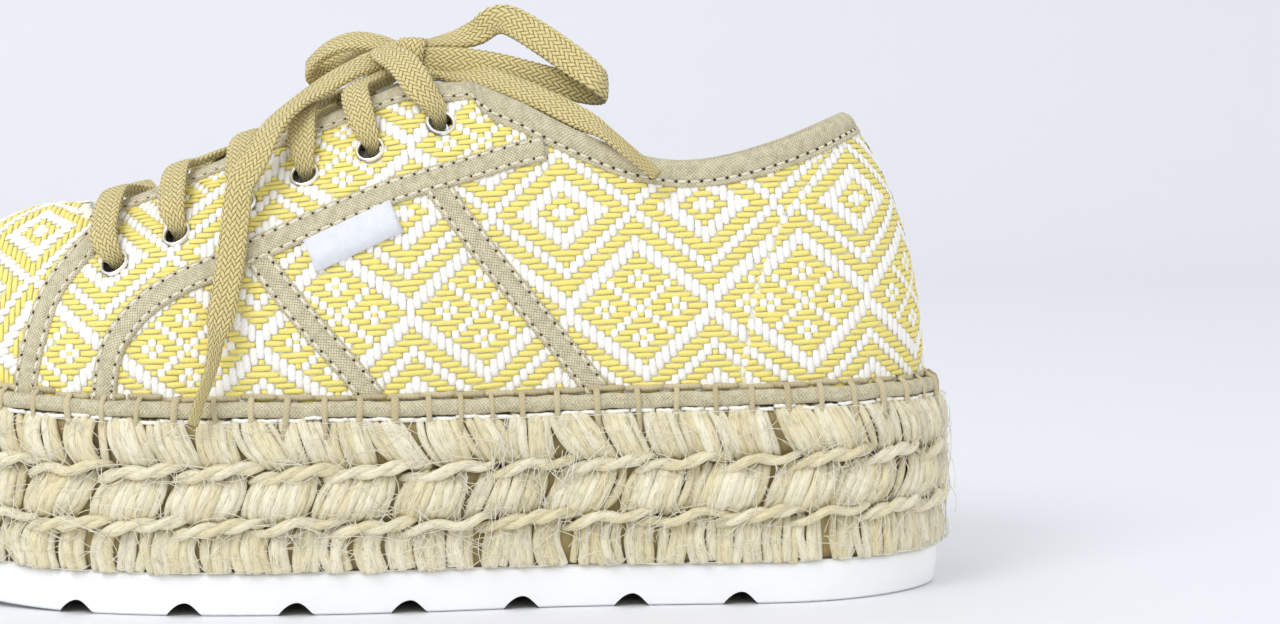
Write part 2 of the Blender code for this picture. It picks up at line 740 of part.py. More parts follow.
def over_throat(stations, count):
    """Path and normals over the closed last through (x, y, lift) stations."""
    path = smooth_path(stations, count)
    points = np.zeros((count, 3))
    normals = np.zeros((count, 3))
    for side in (-1, 1):
        here = side_of_plan(path) == side
        if here.any():
            place, share = locate(side, path[here, 0], np.maximum(np.abs(path[here, 1]), 0.3), by_height=False)
            normals[here] = skin_normal(place, share)
            points[here] = skin_point(place, share)
    return points + normals * path[:, 2:], normals


def side_of_plan(path):
    """-1 or +1 for plan points left or right of the middle plane."""
    return np.where(path[:, 1] < 0.0, -1, 1)


def eyelet_y(side, number):
    """Distance of an eyelet's centre from the middle plane."""
    x, z = EYELETS[number - 1]
    place, share = locate(side, x, z)
    return abs(float(skin_point(place, share)[1]))


def make_lace_bars(parts, material):
    """Straight lowest bar, then crossings that rise from each eyelet over its facing."""
    x = EYELETS[0][0]
    near = eyelet_y(-1, 1)
    far = eyelet_y(1, 1)
    stations = [(x, -near + 0.6, 3.2), (x, -near + 5.0, 3.4), (x, -11.0, 3.6), (x, 0.0, 3.4),
                (x, 11.0, 3.6), (x, far - 5.0, 3.4), (x, far - 0.6, 3.2)]
    path, normals = over_throat(stations, 11)
    mesh = ribbon("lace_bar", path, normals, LACE_WIDTH, LACE_THICKNESS)
    add_object("lace_bar", mesh, parts, material)
    for number in range(2, 6):
        make_crossing(parts, material, number)


def make_crossing(parts, material, number):
    """Two laces that cross over the tongue, joined where they meet."""
    x = EYELETS[number - 1][0]
    run = EYELETS[number][0] - x
    halves = []
    for side in (-1, 1):
        near = eyelet_y(side, number)
        stations = [
            (x, side * (near - 0.6), 3.2),
            (x + 0.4, side * (near - 5.0), 3.4),
            (x + 1.2, side * 13.5, 3.6),
            (x + 2.8, side * 8.5, 1.6),
            (x + 0.38 * run, 0.0, -0.8),
            (x + 0.56 * run, -side * 5.0, -1.4),
            (x + 0.66 * run, -side * 8.6, -1.9),
        ]
        path, normals = over_throat(stations, 8)
        halves.append(ribbon(f"lace_half_{number}", path, normals, LACE_WIDTH, LACE_THICKNESS))
    name = f"lace_crossing_{number}"
    first = add_object(name, halves[0], parts, material)
    second = bpy.data.objects.new(f"{name}_second", halves[1])
    bpy.data.collections["cutters"].objects.link(second)
    second.hide_render = True
    second.display_type = "WIRE"
    join = first.modifiers.new("crossed_lace", "BOOLEAN")
    join.operation = "UNION"
    join.solver = "EXACT"
    join.object = second


def make_top_laces(parts, material):
    """Laces from the top eyelets up to the knot, one on each side."""
    x = EYELETS[5][0]
    for side, side_name in ((-1, "lateral"), (1, "medial")):
        near = eyelet_y(side, 6)
        stations = [
            (x, side * (near - 0.6), 3.2),
            (x - 2.6, side * (near - 3.4), 4.2),
            (x - 6.4, side * 11.6, 5.0),
            (x - 10.6, side * 8.6, 5.5),
            (x - 13.6, side * 6.6, 5.7),
        ]
        path, normals = over_throat(stations, 6)
        name = f"lace_top_{side_name}"
        add_object(name, ribbon(name, path, normals, LACE_WIDTH, LACE_THICKNESS), parts, material)


def make_knot(parts, material):
    """Bow's knot: a short rounded lump."""
    def build(form):
        bmesh.ops.create_uvsphere(form, u_segments=12, v_segments=7, radius=0.5)
        for vertex in form.verts:
            offset = [math.copysign(abs(2.0 * value) ** 0.8, value) / 2.0 for value in vertex.co]
            vertex.co = [(centre + size * part) * MM for centre, size, part in zip(KNOT, KNOT_SIZE, offset)]
    add_object("lace_knot", mesh_from("lace_knot", build), parts, material)


def make_cord(name, route, count, parts, material):
    """Free lace as a plain tube along its route."""
    curve = bpy.data.curves.new(name, "CURVE")
    curve.dimensions = "3D"
    curve.bevel_depth = LACE_TUBE_RADIUS * MM
    curve.bevel_resolution = 2
    curve.use_fill_caps = True
    spline = curve.splines.new("POLY")
    points = smooth_path(route, count)
    spline.points.add(len(points) - 1)
    for point, place in zip(spline.points, points):
        point.co = (*(place * MM), 1.0)
    curve.materials.append(material)
    cord = bpy.data.objects.new(name, curve)
    parts.objects.link(cord)


def make_bow(parts, material):
    """Knot, two loops and two hanging ends of the lace."""
    make_knot(parts, material)
    make_cord("lace_loop_fore", FORE_LOOP, 12, parts, material)
    make_cord("lace_loop_rear", REAR_LOOP, 16, parts, material)
    make_cord("lace_end_fore", FORE_END, 18, parts, material)
    make_cord("lace_end_rear", REAR_END, 11, parts, material)


# ---------------------------------------------------------------- the shoe
def clear_scene():
    """Start from an empty scene."""
    for leftover in list(bpy.data.objects):
        bpy.data.objects.remove(leftover, do_unlink=True)


def main():
    clear_scene()
    parts = new_collection("parts")
    cutters = new_collection("cutters")
    rubber = finish("outsole_rubber", (0.93, 0.94, 0.94), 0.55)
    jute = finish("jute", (0.66, 0.58, 0.40), 0.9)
    tape = finish("tape", (0.55, 0.49, 0.34), 0.85)
    weave = finish("woven_upper", (0.93, 0.78, 0.28), 0.85)
    lining = finish("lining", (0.88, 0.87, 0.83), 0.85)
    lace = finish("lace", (0.50, 0.40, 0.16), 0.85)
    metal = finish("eyelet_metal", (0.82, 0.82, 0.83), 0.15, 1.0)
    tag = finish("tag", (0.93, 0.93, 0.92), 0.6)
    make_outsole(parts, cutters, rubber)
    make_braids(parts, jute)
    make_seam_cords(parts, jute)
    make_piping(parts, tape)
    make_insole(parts, lining)
    make_upper(parts, cutters, weave)
    make_tongue(parts, lining)
    make_binding(parts, tape)
    make_tapes(parts, tape)
    make_tag(parts, tag)
    make_eyelets(parts, metal)
    make_lace_bars(parts, lace)
    make_top_laces(parts, lace)
    make_bow(parts, lace)


if __name__ == "__main__":
    main()
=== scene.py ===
"""Left platform sneaker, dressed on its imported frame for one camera.

The toe points along -X, the outer (lateral) side faces -Y and the floor is Z = 0. Shapes are worked out
in millimetres and written to meshes in metres. One form, the Last, gives every piece its place: a closed
ring of sections round the foot (place 0 is the toe, 12 the heel, 24 the toe again) that rise from the
foot line (share 0) to the top line (share 1).
"""

import logging
import math
from dataclasses import dataclass
from enum import Enum
from typing import Callable, NamedTuple, Sequence

import bmesh
import bpy
import numpy as np
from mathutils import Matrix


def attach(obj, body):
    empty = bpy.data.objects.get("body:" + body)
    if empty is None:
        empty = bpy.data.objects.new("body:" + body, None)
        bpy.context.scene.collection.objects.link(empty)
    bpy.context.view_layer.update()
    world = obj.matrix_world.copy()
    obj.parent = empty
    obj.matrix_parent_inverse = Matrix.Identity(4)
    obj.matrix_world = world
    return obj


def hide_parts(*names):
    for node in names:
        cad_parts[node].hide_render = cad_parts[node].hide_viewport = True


Array = np.ndarray
Colour = tuple[float, float, float]
Route = tuple[tuple[float, ...], ...]
MM = 0.001
SMALL = 1e-3

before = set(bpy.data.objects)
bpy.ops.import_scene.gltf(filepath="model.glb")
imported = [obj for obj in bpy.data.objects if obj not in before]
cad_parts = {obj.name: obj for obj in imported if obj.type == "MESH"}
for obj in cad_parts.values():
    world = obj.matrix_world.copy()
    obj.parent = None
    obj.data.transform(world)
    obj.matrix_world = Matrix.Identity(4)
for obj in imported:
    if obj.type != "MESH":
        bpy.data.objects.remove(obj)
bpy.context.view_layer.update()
LOG = logging.getLogger("sneaker")


# ---------------------------------------------------------------- small arithmetic
def unit(vectors: Array) -> Array:
    """Vectors made one long."""
    return vectors / np.maximum(np.linalg.norm(vectors, axis=-1, keepdims=True), 1e-12)


def smooth_path(points: Sequence[Sequence[float]], count: int, measured: int = 3) -> Array:
    """Evenly spaced rows on a smooth open curve.

    Args:
        points: rows that the curve passes through; the first columns are its place.
        count: how many rows to return.
        measured: how many of the columns the spacing is measured in.

    Returns:
        An array of `count` rows.
    """
    given = np.array(points, dtype=float)
    padded = np.vstack([2.0 * given[0] - given[1], given, 2.0 * given[-1] - given[-2]])
    s = np.linspace(0.0, 1.0, 24, endpoint=False)[:, None]
    dense = []
    for p0, p1, p2, p3 in zip(padded, padded[1:], padded[2:], padded[3:]):
        bend = (2.0 * p0 - 5.0 * p1 + 4.0 * p2 - p3) * s**2 + (3.0 * p1 - p0 - 3.0 * p2 + p3) * s**3
        dense.append((2.0 * p1 + (p2 - p0) * s + bend) / 2.0)
    line = np.vstack(dense + [given[-1:]])
    lengths = travelled(line[None, :, :measured])[0]
    wanted = np.linspace(0.0, lengths[-1], count)
    return np.column_stack([np.interp(wanted, lengths, line[:, k]) for k in range(line.shape[1])])


def path_length(points: Array) -> float:
    """Length of a line through points."""
    return float(np.linalg.norm(np.diff(points, axis=0), axis=1).sum())


def travelled(lines: Array) -> Array:
    """Distance run at each point of many lines: lines x points x 3."""
    steps = np.linalg.norm(np.diff(lines, axis=1), axis=2)
    return np.concatenate([np.zeros((len(lines), 1)), np.cumsum(steps, axis=1)], axis=1)


def raised(plan: Array, height: Array) -> Array:
    """Plan points or directions with their heights."""
    return np.concatenate([plan, height[..., None]], axis=-1)


def squared(wave: Array, power: float) -> Array:
    """A sine or cosine whose circle is drawn out towards a square."""
    return np.sign(wave) * np.abs(wave) ** power


def halved(low: Array, high: Array, rounds: int, short: Callable[[Array], Array]) -> Array:
    """Values found by halving brackets.

    Args:
        low: the brackets' lower ends.
        high: the brackets' upper ends.
        rounds: how often they are halved.
        short: says of each middle whether it is too low.

    Returns:
        The last lower ends.
    """
    for _ in range(rounds):
        middle = (low + high) / 2.0
        under = short(middle)
        low, high = np.where(under, middle, low), np.where(under, high, middle)
    return low


def blended(table: Array, x: Array, y: Array, layer: tuple[Array, ...] = ()) -> Array:
    """Rows between the grid points of a table.

    Args:
        table: its last axis holds the rows.
        x: places along the first grid axis.
        y: places along the second grid axis.
        layer: indices that come before the two grid axes.

    Returns:
        A row for each place.
    """
    i, k = np.floor(x).astype(int), np.floor(y).astype(int)
    s, t = (x - i)[..., None], (y - k)[..., None]
    low, high = (table[(*layer, i, k + up)] * (1 - s) + table[(*layer, i + 1, k + up)] * s for up in (0, 1))
    return low * (1 - t) + high * t


# ---------------------------------------------------------------- the form
class Side(Enum):
    """The shoe's two sides, by the sign of Y."""

    LATERAL = -1
    MEDIAL = 1

    @property
    def word(self) -> str:
        """The side's name in lower case."""
        return self.name.lower()

    def place(self, place: Array) -> Array:
        """A place of the lateral half, or the place across from it."""
        return place if self is Side.LATERAL else FULL_TURN - place


class Section(NamedTuple):
    """One section of the last: the platform's widest line, the top line and the curve between them."""

    lateral_x: float
    lateral_y: float
    medial_x: float
    medial_y: float
    top_x: float
    top_mid: float
    top_half: float
    top_z: float
    up: float
    out: float
    reach: float
    drop: float


SECTIONS = (
    Section(-133.2, 10.0, -133.2, 10.0, -100.0, 4.0, 0.0, 86.2, 18.0, 3.0, 15.0, 6.0),
    Section(-123.5, -13.8, -128.5, 30.6, -98.0, 4.0, 0.0, 87.2, 18.0, 3.0, 16.0, 5.0),
    Section(-102.0, -32.0, -112.0, 43.6, -88.0, 3.0, 0.0, 91.4, 20.0, 3.0, 21.0, 2.0),
    Section(-74.5, -43.8, -85.0, 48.6, -70.0, 1.5, 0.0, 93.4, 25.0, 3.0, 21.0, 1.5),
    Section(-42.0, -48.8, -52.0, 47.4, -42.0, 0.0, 0.0, 105.2, 32.0, 3.0, 25.0, 2.0),
    Section(-8.0, -47.2, -18.0, 39.5, -14.0, 0.0, 0.0, 119.4, 38.0, 2.0, 25.0, 2.0),
    Section(20.0, -42.8, 16.0, 33.5, 6.0, 0.0, 0.0, 126.2, 40.0, 0.0, 26.0, 0.5),
    Section(38.0, -39.3, 35.0, 31.8, 23.0, 0.0, 17.0, 119.3, 36.0, 0.0, 9.5, 8.5),
    Section(57.0, -37.2, 54.0, 31.5, 44.0, 0.0, 24.5, 108.3, 28.0, 0.5, 4.0, 18.0),
    Section(81.0, -35.5, 80.0, 32.8, 67.0, 0.0, 27.0, 101.5, 26.0, 1.0, 3.0, 16.0),
    Section(105.5, -30.8, 105.5, 29.8, 89.5, 0.0, 24.0, 105.4, 26.0, 2.5, 4.0, 18.0),
    Section(125.4, -16.8, 125.4, 16.8, 103.0, 0.0, 14.0, 110.8, 25.0, 2.4, 10.6, 17.0),
    Section(132.5, 0.0, 132.5, 0.0, 108.3, 0.0, 0.0, 113.4, 24.0, 1.0, 13.2, 15.0),
)
HALF_TURN = 12
FULL_TURN = 24


class Last:
    """The shoe's form: outline, heights and the skin on which the upper's cloth lies."""

    wall = 2.0
    gap = 0.3
    foot_inset = 5.2
    sole_thickness = 10.0
    deck = 44.3
    heel_rise = 1.9
    toe_spring = 8.0
    spring_start = -62.0
    deck_spring_start = -48.0
    toe_end = -133.2
    throat_front = -77.0
    throat_back = 40.0
    throat_round = 7.0
    throat_width = 12.5
    throat_spread = 0.033
    corner = 7.0                # place where the throat's edge runs into the collar
    corner_ease = 0.5
    throat_foot = 0.4           # share below which the throat never reaches
    rounds = 18                 # halvings that find a place or a share
    edge_rounds = 22            # halvings that find the throat's edge

    def __init__(self) -> None:
        """Lay the sections round the ring and bend a smooth closed curve through them."""
        lateral = [(row.lateral_x, row.lateral_y, row.top_x, row.top_mid, -row.top_half) + tuple(row[7:])
                   for row in SECTIONS]
        medial = [(row.medial_x, row.medial_y) + tuple(row[4:]) for row in SECTIONS]
        self.rows = np.array(lateral + medial[-2:0:-1], dtype=float)
        here = np.eye(len(self.rows))
        weights = 4.0 * here + np.roll(here, 1, axis=0) + np.roll(here, -1, axis=0)
        jumps = np.roll(self.rows, -1, axis=0) - 2.0 * self.rows + np.roll(self.rows, 1, axis=0)
        self.bends = np.linalg.solve(weights, 6.0 * jumps)

    def ring(self, place: Array) -> Array:
        """Section values at any places, on a smooth closed curve through the given sections."""
        place = np.asarray(place, dtype=float)
        first = np.floor(place).astype(int)
        share = (place - first)[..., None]
        rest = 1.0 - share
        first = first % FULL_TURN
        second = (first + 1) % FULL_TURN
        bent = (rest**3 - rest) * self.bends[first] + (share**3 - share) * self.bends[second]
        return rest * self.rows[first] + share * self.rows[second] + bent / 6.0

    def outline(self, place: Array, inset: Array | float = 0.0) -> tuple[Array, Array]:
        """Plan points on the platform's widest line, moved inward, and the plan's outward directions."""
        place = np.asarray(place, dtype=float)
        along = unit(self.ring(place + SMALL)[..., :2] - self.ring(place - SMALL)[..., :2])
        outward = np.stack([along[..., 1], -along[..., 0]], axis=-1)
        inward = np.broadcast_to(np.asarray(inset, dtype=float), place.shape)[..., None]
        return self.ring(place)[..., :2] - outward * inward, outward

    def per_mm(self, place: Array) -> Array:
        """Places in a millimetre of the outline, round any place."""
        ahead, _ = self.outline(np.asarray(place) + 0.1)
        behind, _ = self.outline(np.asarray(place) - 0.1)
        return 0.2 / np.linalg.norm(ahead - behind, axis=-1)

    def floor_height(self, x: Array) -> Array:
        """Height of the sole's underside: flat, with the toe sprung up."""
        ahead = np.clip((self.spring_start - x) / (self.spring_start - self.toe_end), 0, None)
        return self.toe_spring * ahead**2

    def deck_height(self, x: Array) -> Array:
        """Height of the jute platform's top."""
        ahead = np.clip((self.deck_spring_start - x) / (self.deck_spring_start - self.toe_end), 0.0, None)
        return self.deck + self.toe_spring * ahead**2 + self.heel_rise * np.clip((x - 10.0) / 100.0, 0.0, 1.0)

    def layer_height(self, x: Array, share: Array | float) -> Array:
        """Height a share of the way up the jute, from the rubber to the deck."""
        base = self.floor_height(x) + self.sole_thickness
        return base + (self.deck_height(x) - base) * share

    def side_of(self, place: Array) -> Array:
        """-1 on the lateral half of the ring, +1 on the medial half."""
        return np.where(np.asarray(place) % FULL_TURN <= HALF_TURN, -1.0, 1.0)

    def slab(self, places: Array, levels: Sequence[tuple[float, Callable[[Array], Array]]]) -> Array:
        """Rows of a closed slab with the outline's shape.

        Args:
            places: places round the outline, the last equal to the first.
            levels: each row's inset and its height as a function of x, from the underside to the top.

        Returns:
            The rows, with both faces drawn in to a point.
        """
        rows = []
        lids = {0: (0.0, 0.3, 0.6, 0.85, 1.0), len(levels) - 1: (1.0, 0.85, 0.6, 0.3, 0.0)}
        for i, (inset, height) in enumerate(levels):
            plan, _ = self.outline(places, inset)
            rows += [np.column_stack([plan * size, height(plan[:, 0] * size)]) for size in lids.get(i, (1.0,))]
        return np.array(rows)

    def point(self, place: Array, share: Array) -> Array:
        """Point of the skin: place along the ring, share of the way up its section."""
        place, share = np.broadcast_arrays(np.asarray(place, float), np.asarray(share, float))
        foot_plan, outward = self.outline(place, self.foot_inset)
        top_x, top_mid, top_half, top_z, up, out, reach, drop = np.moveaxis(self.ring(place)[..., 2:], -1, 0)
        side = self.side_of(place)
        flat = np.zeros(place.shape)
        away = np.stack([outward[..., 0], outward[..., 1], flat], axis=-1)
        rise = np.stack([flat, flat, flat + 1.0], axis=-1)
        foot_z = self.deck_height(foot_plan[..., 0]) + self.gap
        foot = np.stack([foot_plan[..., 0], foot_plan[..., 1], foot_z], axis=-1)
        top = np.stack([top_x, top_mid + side * np.maximum(side * top_half, 0.0), top_z], axis=-1)
        lower = foot + rise * up[..., None] + away * out[..., None]
        upper = top + away * reach[..., None] - rise * drop[..., None]
        s = share[..., None]
        r = 1.0 - s
        return r**3 * foot + 3.0 * r * r * s * lower + 3.0 * r * s * s * upper + s**3 * top

    def normal(self, place: Array, share: Array) -> Array:
        """Outward direction of the skin."""
        share = np.minimum(share, 1.0 - 2.0 * SMALL)
        along = self.point(place + SMALL, share) - self.point(place - SMALL, share)
        across = self.point(place, share + SMALL) - self.point(place, share - SMALL)
        return unit(np.cross(along, across))

    def skin(self, place: Array, share: Array, lift: Array | float = 0.0) -> Array:
        """Point at a height over the skin, or under it when negative."""
        place, share = np.broadcast_arrays(np.asarray(place, float), np.asarray(share, float))
        lift = np.broadcast_to(np.asarray(lift, float), place.shape)[..., None]
        return self.point(place, share) + self.normal(place, share) * lift

    def place_at(self, side: Side, x: Array, share: Array) -> Array:
        """Place on one side of the ring where the skin, at this share, has the given x."""
        low = halved(np.zeros(np.shape(x)), np.full(np.shape(x), float(HALF_TURN)), self.rounds,
                     lambda middle: self.point(side.place(middle), share)[..., 0] < x)
        return side.place(low)

    def locate(self, side: Side, x: Array, level: Array, by_height: bool = True) -> tuple[Array, Array]:
        """Place and share of skin points.

        Args:
            side: the side of the shoe.
            x: each point's x.
            level: each point's z, or its distance from the middle plane.
            by_height: whether `level` is z.

        Returns:
            The places and the shares.
        """
        x, level = np.broadcast_arrays(np.asarray(x, float), np.asarray(level, float))

        def short(middle: Array) -> Array:
            """Whether a share is too far down the wall."""
            point = self.point(self.place_at(side, x, middle), middle)
            return point[..., 2] < level if by_height else side.value * point[..., 1] > level

        low = halved(np.full(x.shape, 0.0 if by_height else self.throat_foot), np.ones(x.shape), self.rounds, short)
        return self.place_at(side, x, low), low

    def throat_half(self, x: Array) -> Array:
        """Half the width of the throat at x; its front is rounded."""
        share = np.clip((x - self.throat_front) / self.throat_round, 0.0, 1.0)
        width = self.throat_width + self.throat_spread * (x - self.throat_front)
        return width * np.sqrt(1.0 - (1.0 - share) ** 2)

    def top_share(self, place: Array) -> Array:
        """Share at which each section ends, eased where the throat's edge runs into the collar."""
        place = np.asarray(place, float)
        round_it = place % FULL_TURN
        away = np.abs(np.minimum(round_it, FULL_TURN - round_it) - self.corner)
        reach = self.corner_ease * np.clip(1.6 - away / self.corner_ease, 0.0, 1.0)
        return np.mean([self.cut_share(place + reach * part) for part in np.linspace(-1.0, 1.0, 9)], axis=0)

    def cut_share(self, place: Array) -> Array:
        """Share at which each section ends: at the throat's edge, and at 1 on the vamp and collar."""
        top_x, top_mid = self.ring(place)[..., 2], self.ring(place)[..., 3]

        def outside(middle: Array) -> Array:
            """Whether a share is still outside the throat."""
            point = self.point(place, middle)
            return self.side_of(place) * (point[..., 1] - top_mid) > self.throat_half(point[..., 0])

        low = halved(np.full(place.shape, self.throat_foot), np.ones(place.shape), self.edge_rounds, outside)
        beyond = (top_x <= self.throat_front + SMALL) | (top_x >= self.throat_back)
        return np.where(beyond | (low > 0.999), 1.0, low)

    def top_edge(self, places: Array) -> tuple[Array, Array, Array]:
        """Share of the top edge, the way out of the wall across it, and shares per millimetre down."""
        step = 2e-3
        shares = self.top_share(places)
        ahead = self.point(places + step, self.top_share(places + step))
        behind = self.point(places - step, self.top_share(places - step))
        along = unit(ahead - behind)
        up_wall = self.point(places, shares) - self.point(places, shares - step)
        beyond = unit(up_wall - along * np.sum(up_wall * along, axis=1)[:, None])
        lean = np.maximum(np.sum(unit(up_wall) * beyond, axis=1), 0.6)
        return shares, beyond, step / (np.linalg.norm(up_wall, axis=1) * lean)

    def walk(self, step: float, inset: float = 0.0) -> Array:
        """Places evenly spaced round the outline, about `step` apart."""
        places = np.linspace(0.0, FULL_TURN, 2401)
        line, _ = self.outline(places, inset)
        lengths = travelled(line[None])[0]
        count = int(round(lengths[-1] / step))
        return np.interp(np.arange(count) * lengths[-1] / count, lengths, places)


# ---------------------------------------------------------------- shader nodes
class Field:
    """One output of a shader node, with arithmetic that adds Math nodes to its tree."""

    def __init__(self, desk: "Desk", socket: bpy.types.NodeSocket) -> None:
        """Keep the socket and the desk that owns its tree."""
        self.desk = desk
        self.socket = socket

    def __add__(self, other: "Field | float") -> "Field":
        """Sum."""
        return self.desk.math("ADD", self, other)

    __radd__ = __add__

    def __sub__(self, other: "Field | float") -> "Field":
        """Difference."""
        return self.desk.math("SUBTRACT", self, other)

    def __rsub__(self, other: float) -> "Field":
        """Difference from a number."""
        return self.desk.math("SUBTRACT", other, self)

    def __mul__(self, other: "Field | float") -> "Field":
        """Product."""
        return self.desk.math("MULTIPLY", self, other)

    __rmul__ = __mul__

    def __truediv__(self, other: "Field | float") -> "Field":
        """Quotient."""
        return self.desk.math("DIVIDE", self, other)

    def __mod__(self, other: float) -> "Field":
        """Remainder, never negative."""
        return self.desk.math("FLOORED_MODULO", self, other)

    def sine(self) -> "Field":
        """Sine."""
        return self.desk.math("SINE", self)

    def floor(self) -> "Field":
        """Whole part."""
        return self.desk.math("FLOOR", self)

    def ramp(self, low: float, high: float) -> "Field":
        """Smooth step from 0 at `low` to 1 at `high`."""
        node = self.desk.node("ShaderNodeMapRange", {"interpolation_type": "SMOOTHSTEP"},
                              {"Value": self, "From Min": low, "From Max": high})
        return Field(self.desk, node.outputs[0])

    def arch(self) -> "Field":
        """Half circle over the fraction of this value."""
        across = (self % 1.0) * 2.0 - 1.0
        return self.desk.math("SQRT", self.desk.math("MAXIMUM", 1.0 - across * across, 0.0))


class Desk:
    """Builds the nodes of one material."""

    def __init__(self, name: str) -> None:
        """Start a material with its own shader."""
        self.material = bpy.data.materials.new(name)
        self.material.use_nodes = True
        self.tree = self.material.node_tree
        self.shader = self.tree.nodes["Principled BSDF"]

    def node(self, kind: str, settings: dict[str, object], inputs: dict[str | int, object]) -> bpy.types.Node:
        """A node of any type.

        Args:
            kind: the node's type.
            settings: properties, set first.
            inputs: values or Fields by socket name or number.

        Returns:
            The node.
        """
        made = self.tree.nodes.new(kind)
        for name, value in settings.items():
            setattr(made, name, value)
        for key, value in inputs.items():
            self.feed(made.inputs[key], value)
        return made

    def feed(self, socket: bpy.types.NodeSocket, value: object) -> None:
        """Link a Field to a socket, or set its value."""
        if isinstance(value, Field):
            self.tree.links.new(value.socket, socket)
        elif isinstance(value, tuple) and socket.type == "RGBA" and len(value) == 3:
            socket.default_value = (*value, 1.0)
        else:
            socket.default_value = value

    def math(self, operation: str, *values: "Field | float") -> Field:
        """A Math node."""
        return Field(self, self.node("ShaderNodeMath", {"operation": operation}, dict(enumerate(values))).outputs[0])

    def object_place(self) -> Field:
        """Object coordinates, in metres."""
        return Field(self, self.node("ShaderNodeTexCoord", {}, {}).outputs["Object"])

    def uv(self) -> tuple[Field, Field, Field]:
        """The piece's own UV, in millimetres: across, along and both as one vector."""
        made = self.node("ShaderNodeUVMap", {"uv_map": "UVMap"}, {})
        parts = self.node("ShaderNodeSeparateXYZ", {}, {0: Field(self, made.outputs[0])})
        return Field(self, parts.outputs[0]), Field(self, parts.outputs[1]), Field(self, made.outputs[0])

    def attribute(self, name: str) -> Field:
        """A number stored on the mesh's points."""
        made = self.node("ShaderNodeAttribute", {"attribute_type": "GEOMETRY", "attribute_name": name}, {})
        return Field(self, made.outputs["Fac"])

    def scaled(self, vector: Field, scale: Colour) -> Field:
        """A vector stretched along each axis."""
        made = self.node("ShaderNodeVectorMath", {"operation": "MULTIPLY"}, {0: vector, 1: scale})
        return Field(self, made.outputs[0])

    def noise(self, vector: Field, scale: float, detail: float = 2.0, rough: float = 0.5) -> Field:
        """Noise from 0 to 1."""
        made = self.node("ShaderNodeTexNoise", {}, {"Vector": vector, "Scale": scale, "Detail": detail,
                                                    "Roughness": rough})
        return Field(self, made.outputs[0])

    def mix(self, share: Field | float, first: Field | Colour, second: Field | Colour) -> Field:
        """A colour between two colours."""
        made = self.node("ShaderNodeMix", {"data_type": "RGBA"}, {0: share, 6: first, 7: second})
        return Field(self, made.outputs[2])

    def bump(self, height: Field, strength: float = 1.0) -> Field:
        """A normal from a height in millimetres."""
        made = self.node("ShaderNodeBump", {}, {"Height": height, "Strength": strength, "Distance": MM})
        return Field(self, made.outputs[0])

    def finish(self, **values: object) -> bpy.types.Material:
        """Set the shader's own sockets and return the material; underscores stand for spaces."""
        for name, value in values.items():
            self.feed(self.shader.inputs[name.replace("_", " ").title().replace("Ior", "IOR")], value)
        return self.material


def srgb(red: int, green: int, blue: int) -> Colour:
    """Linear colour from the usual 0-255 numbers."""
    def linear(value: float) -> float:
        """One channel."""
        return value / 12.92 if value <= 0.04045 else ((value + 0.055) / 1.055) ** 2.4
    return linear(red / 255.0), linear(green / 255.0), linear(blue / 255.0)


# ---------------------------------------------------------------- finishes
@dataclass(frozen=True)
class Plain:
    """One colour with slight clouding, for rubber, jute hairs, ground cloth, floor, and the painted shade of needle
    holes and notches.
    """

    name: str
    colour: Colour
    roughness: float = 0.6
    clouding: float = 0.04
    grain: float = 0.02
    scale: float = 60.0

    def make(self) -> bpy.types.Material:
        """The material."""
        desk = Desk(self.name)
        place = desk.object_place()
        cloud = desk.noise(place, self.scale, 3.0)
        darker = tuple(c * (1.0 - 2.0 * self.clouding) for c in self.colour)
        fine = desk.noise(place, 2500.0, 2.0)
        return desk.finish(base_color=desk.mix(cloud.ramp(0.3, 0.7), darker, self.colour),
                           roughness=self.roughness, normal=desk.bump(fine * self.grain),
                           specular_ior_level=0.3)


@dataclass(frozen=True)
class Metal:
    """Bright plated metal with painted reflection: bands along UV y, painted shade inside the barrel and dark painted
    reflection round the rim.
    """

    name: str
    colour: Colour
    roughness: float = 0.12

    def make(self) -> bpy.types.Material:
        """The material."""
        desk = Desk(self.name)
        smear = desk.noise(desk.object_place(), 900.0, 2.0)
        around, along, _ = desk.uv()
        # painted shade inside the barrel and dark painted reflection in bands round the rim, mixed into the base colour
        inside = along.ramp(3.75, 3.45)
        rim = along.ramp(4.55, 4.85)
        sweep = (around * 0.55).sine().ramp(-0.1, 0.5)
        dark = inside * 0.9 + rim * sweep * 0.75
        bright = tuple(min(1.0, c * 1.6) for c in self.colour)
        # dark colour of the painted shade and the painted reflection
        deep = tuple(c * 0.22 for c in self.colour)
        return desk.finish(base_color=desk.mix(dark, bright, deep), metallic=1.0,
                           roughness=smear * 0.12 + self.roughness)


@dataclass(frozen=True)
class Thread:
    """Twisted yarn: UV x runs round it and UV y along it; `tint` varies from thread to thread."""

    name: str
    colour: Colour
    shade: Colour
    ply: float = 0.9            # length of one turn of the twist
    depth: float = 0.10
    fuzz: float = 0.04

    def make(self) -> bpy.types.Material:
        """The material."""
        desk = Desk(self.name)
        across, along, both = desk.uv()
        tint = desk.attribute("tint")
        turn = (across * 0.9 + along) / self.ply
        ply = turn.arch()
        hair = desk.noise(desk.scaled(both, (6.0, 1.2, 1.0)), 1.0, 2.0)
        # painted shade in the grooves of the twist (1 - ply), with random tone from the hair noise and each thread's
        # tint
        deep = (1.0 - ply) * 0.45 + (1.0 - hair) * 0.25 + tint * 0.3
        return desk.finish(base_color=desk.mix(deep, self.colour, self.shade), roughness=0.85,
                           normal=desk.bump(ply * self.depth + hair * self.fuzz), specular_ior_level=0.2,
                           sheen_weight=0.15)


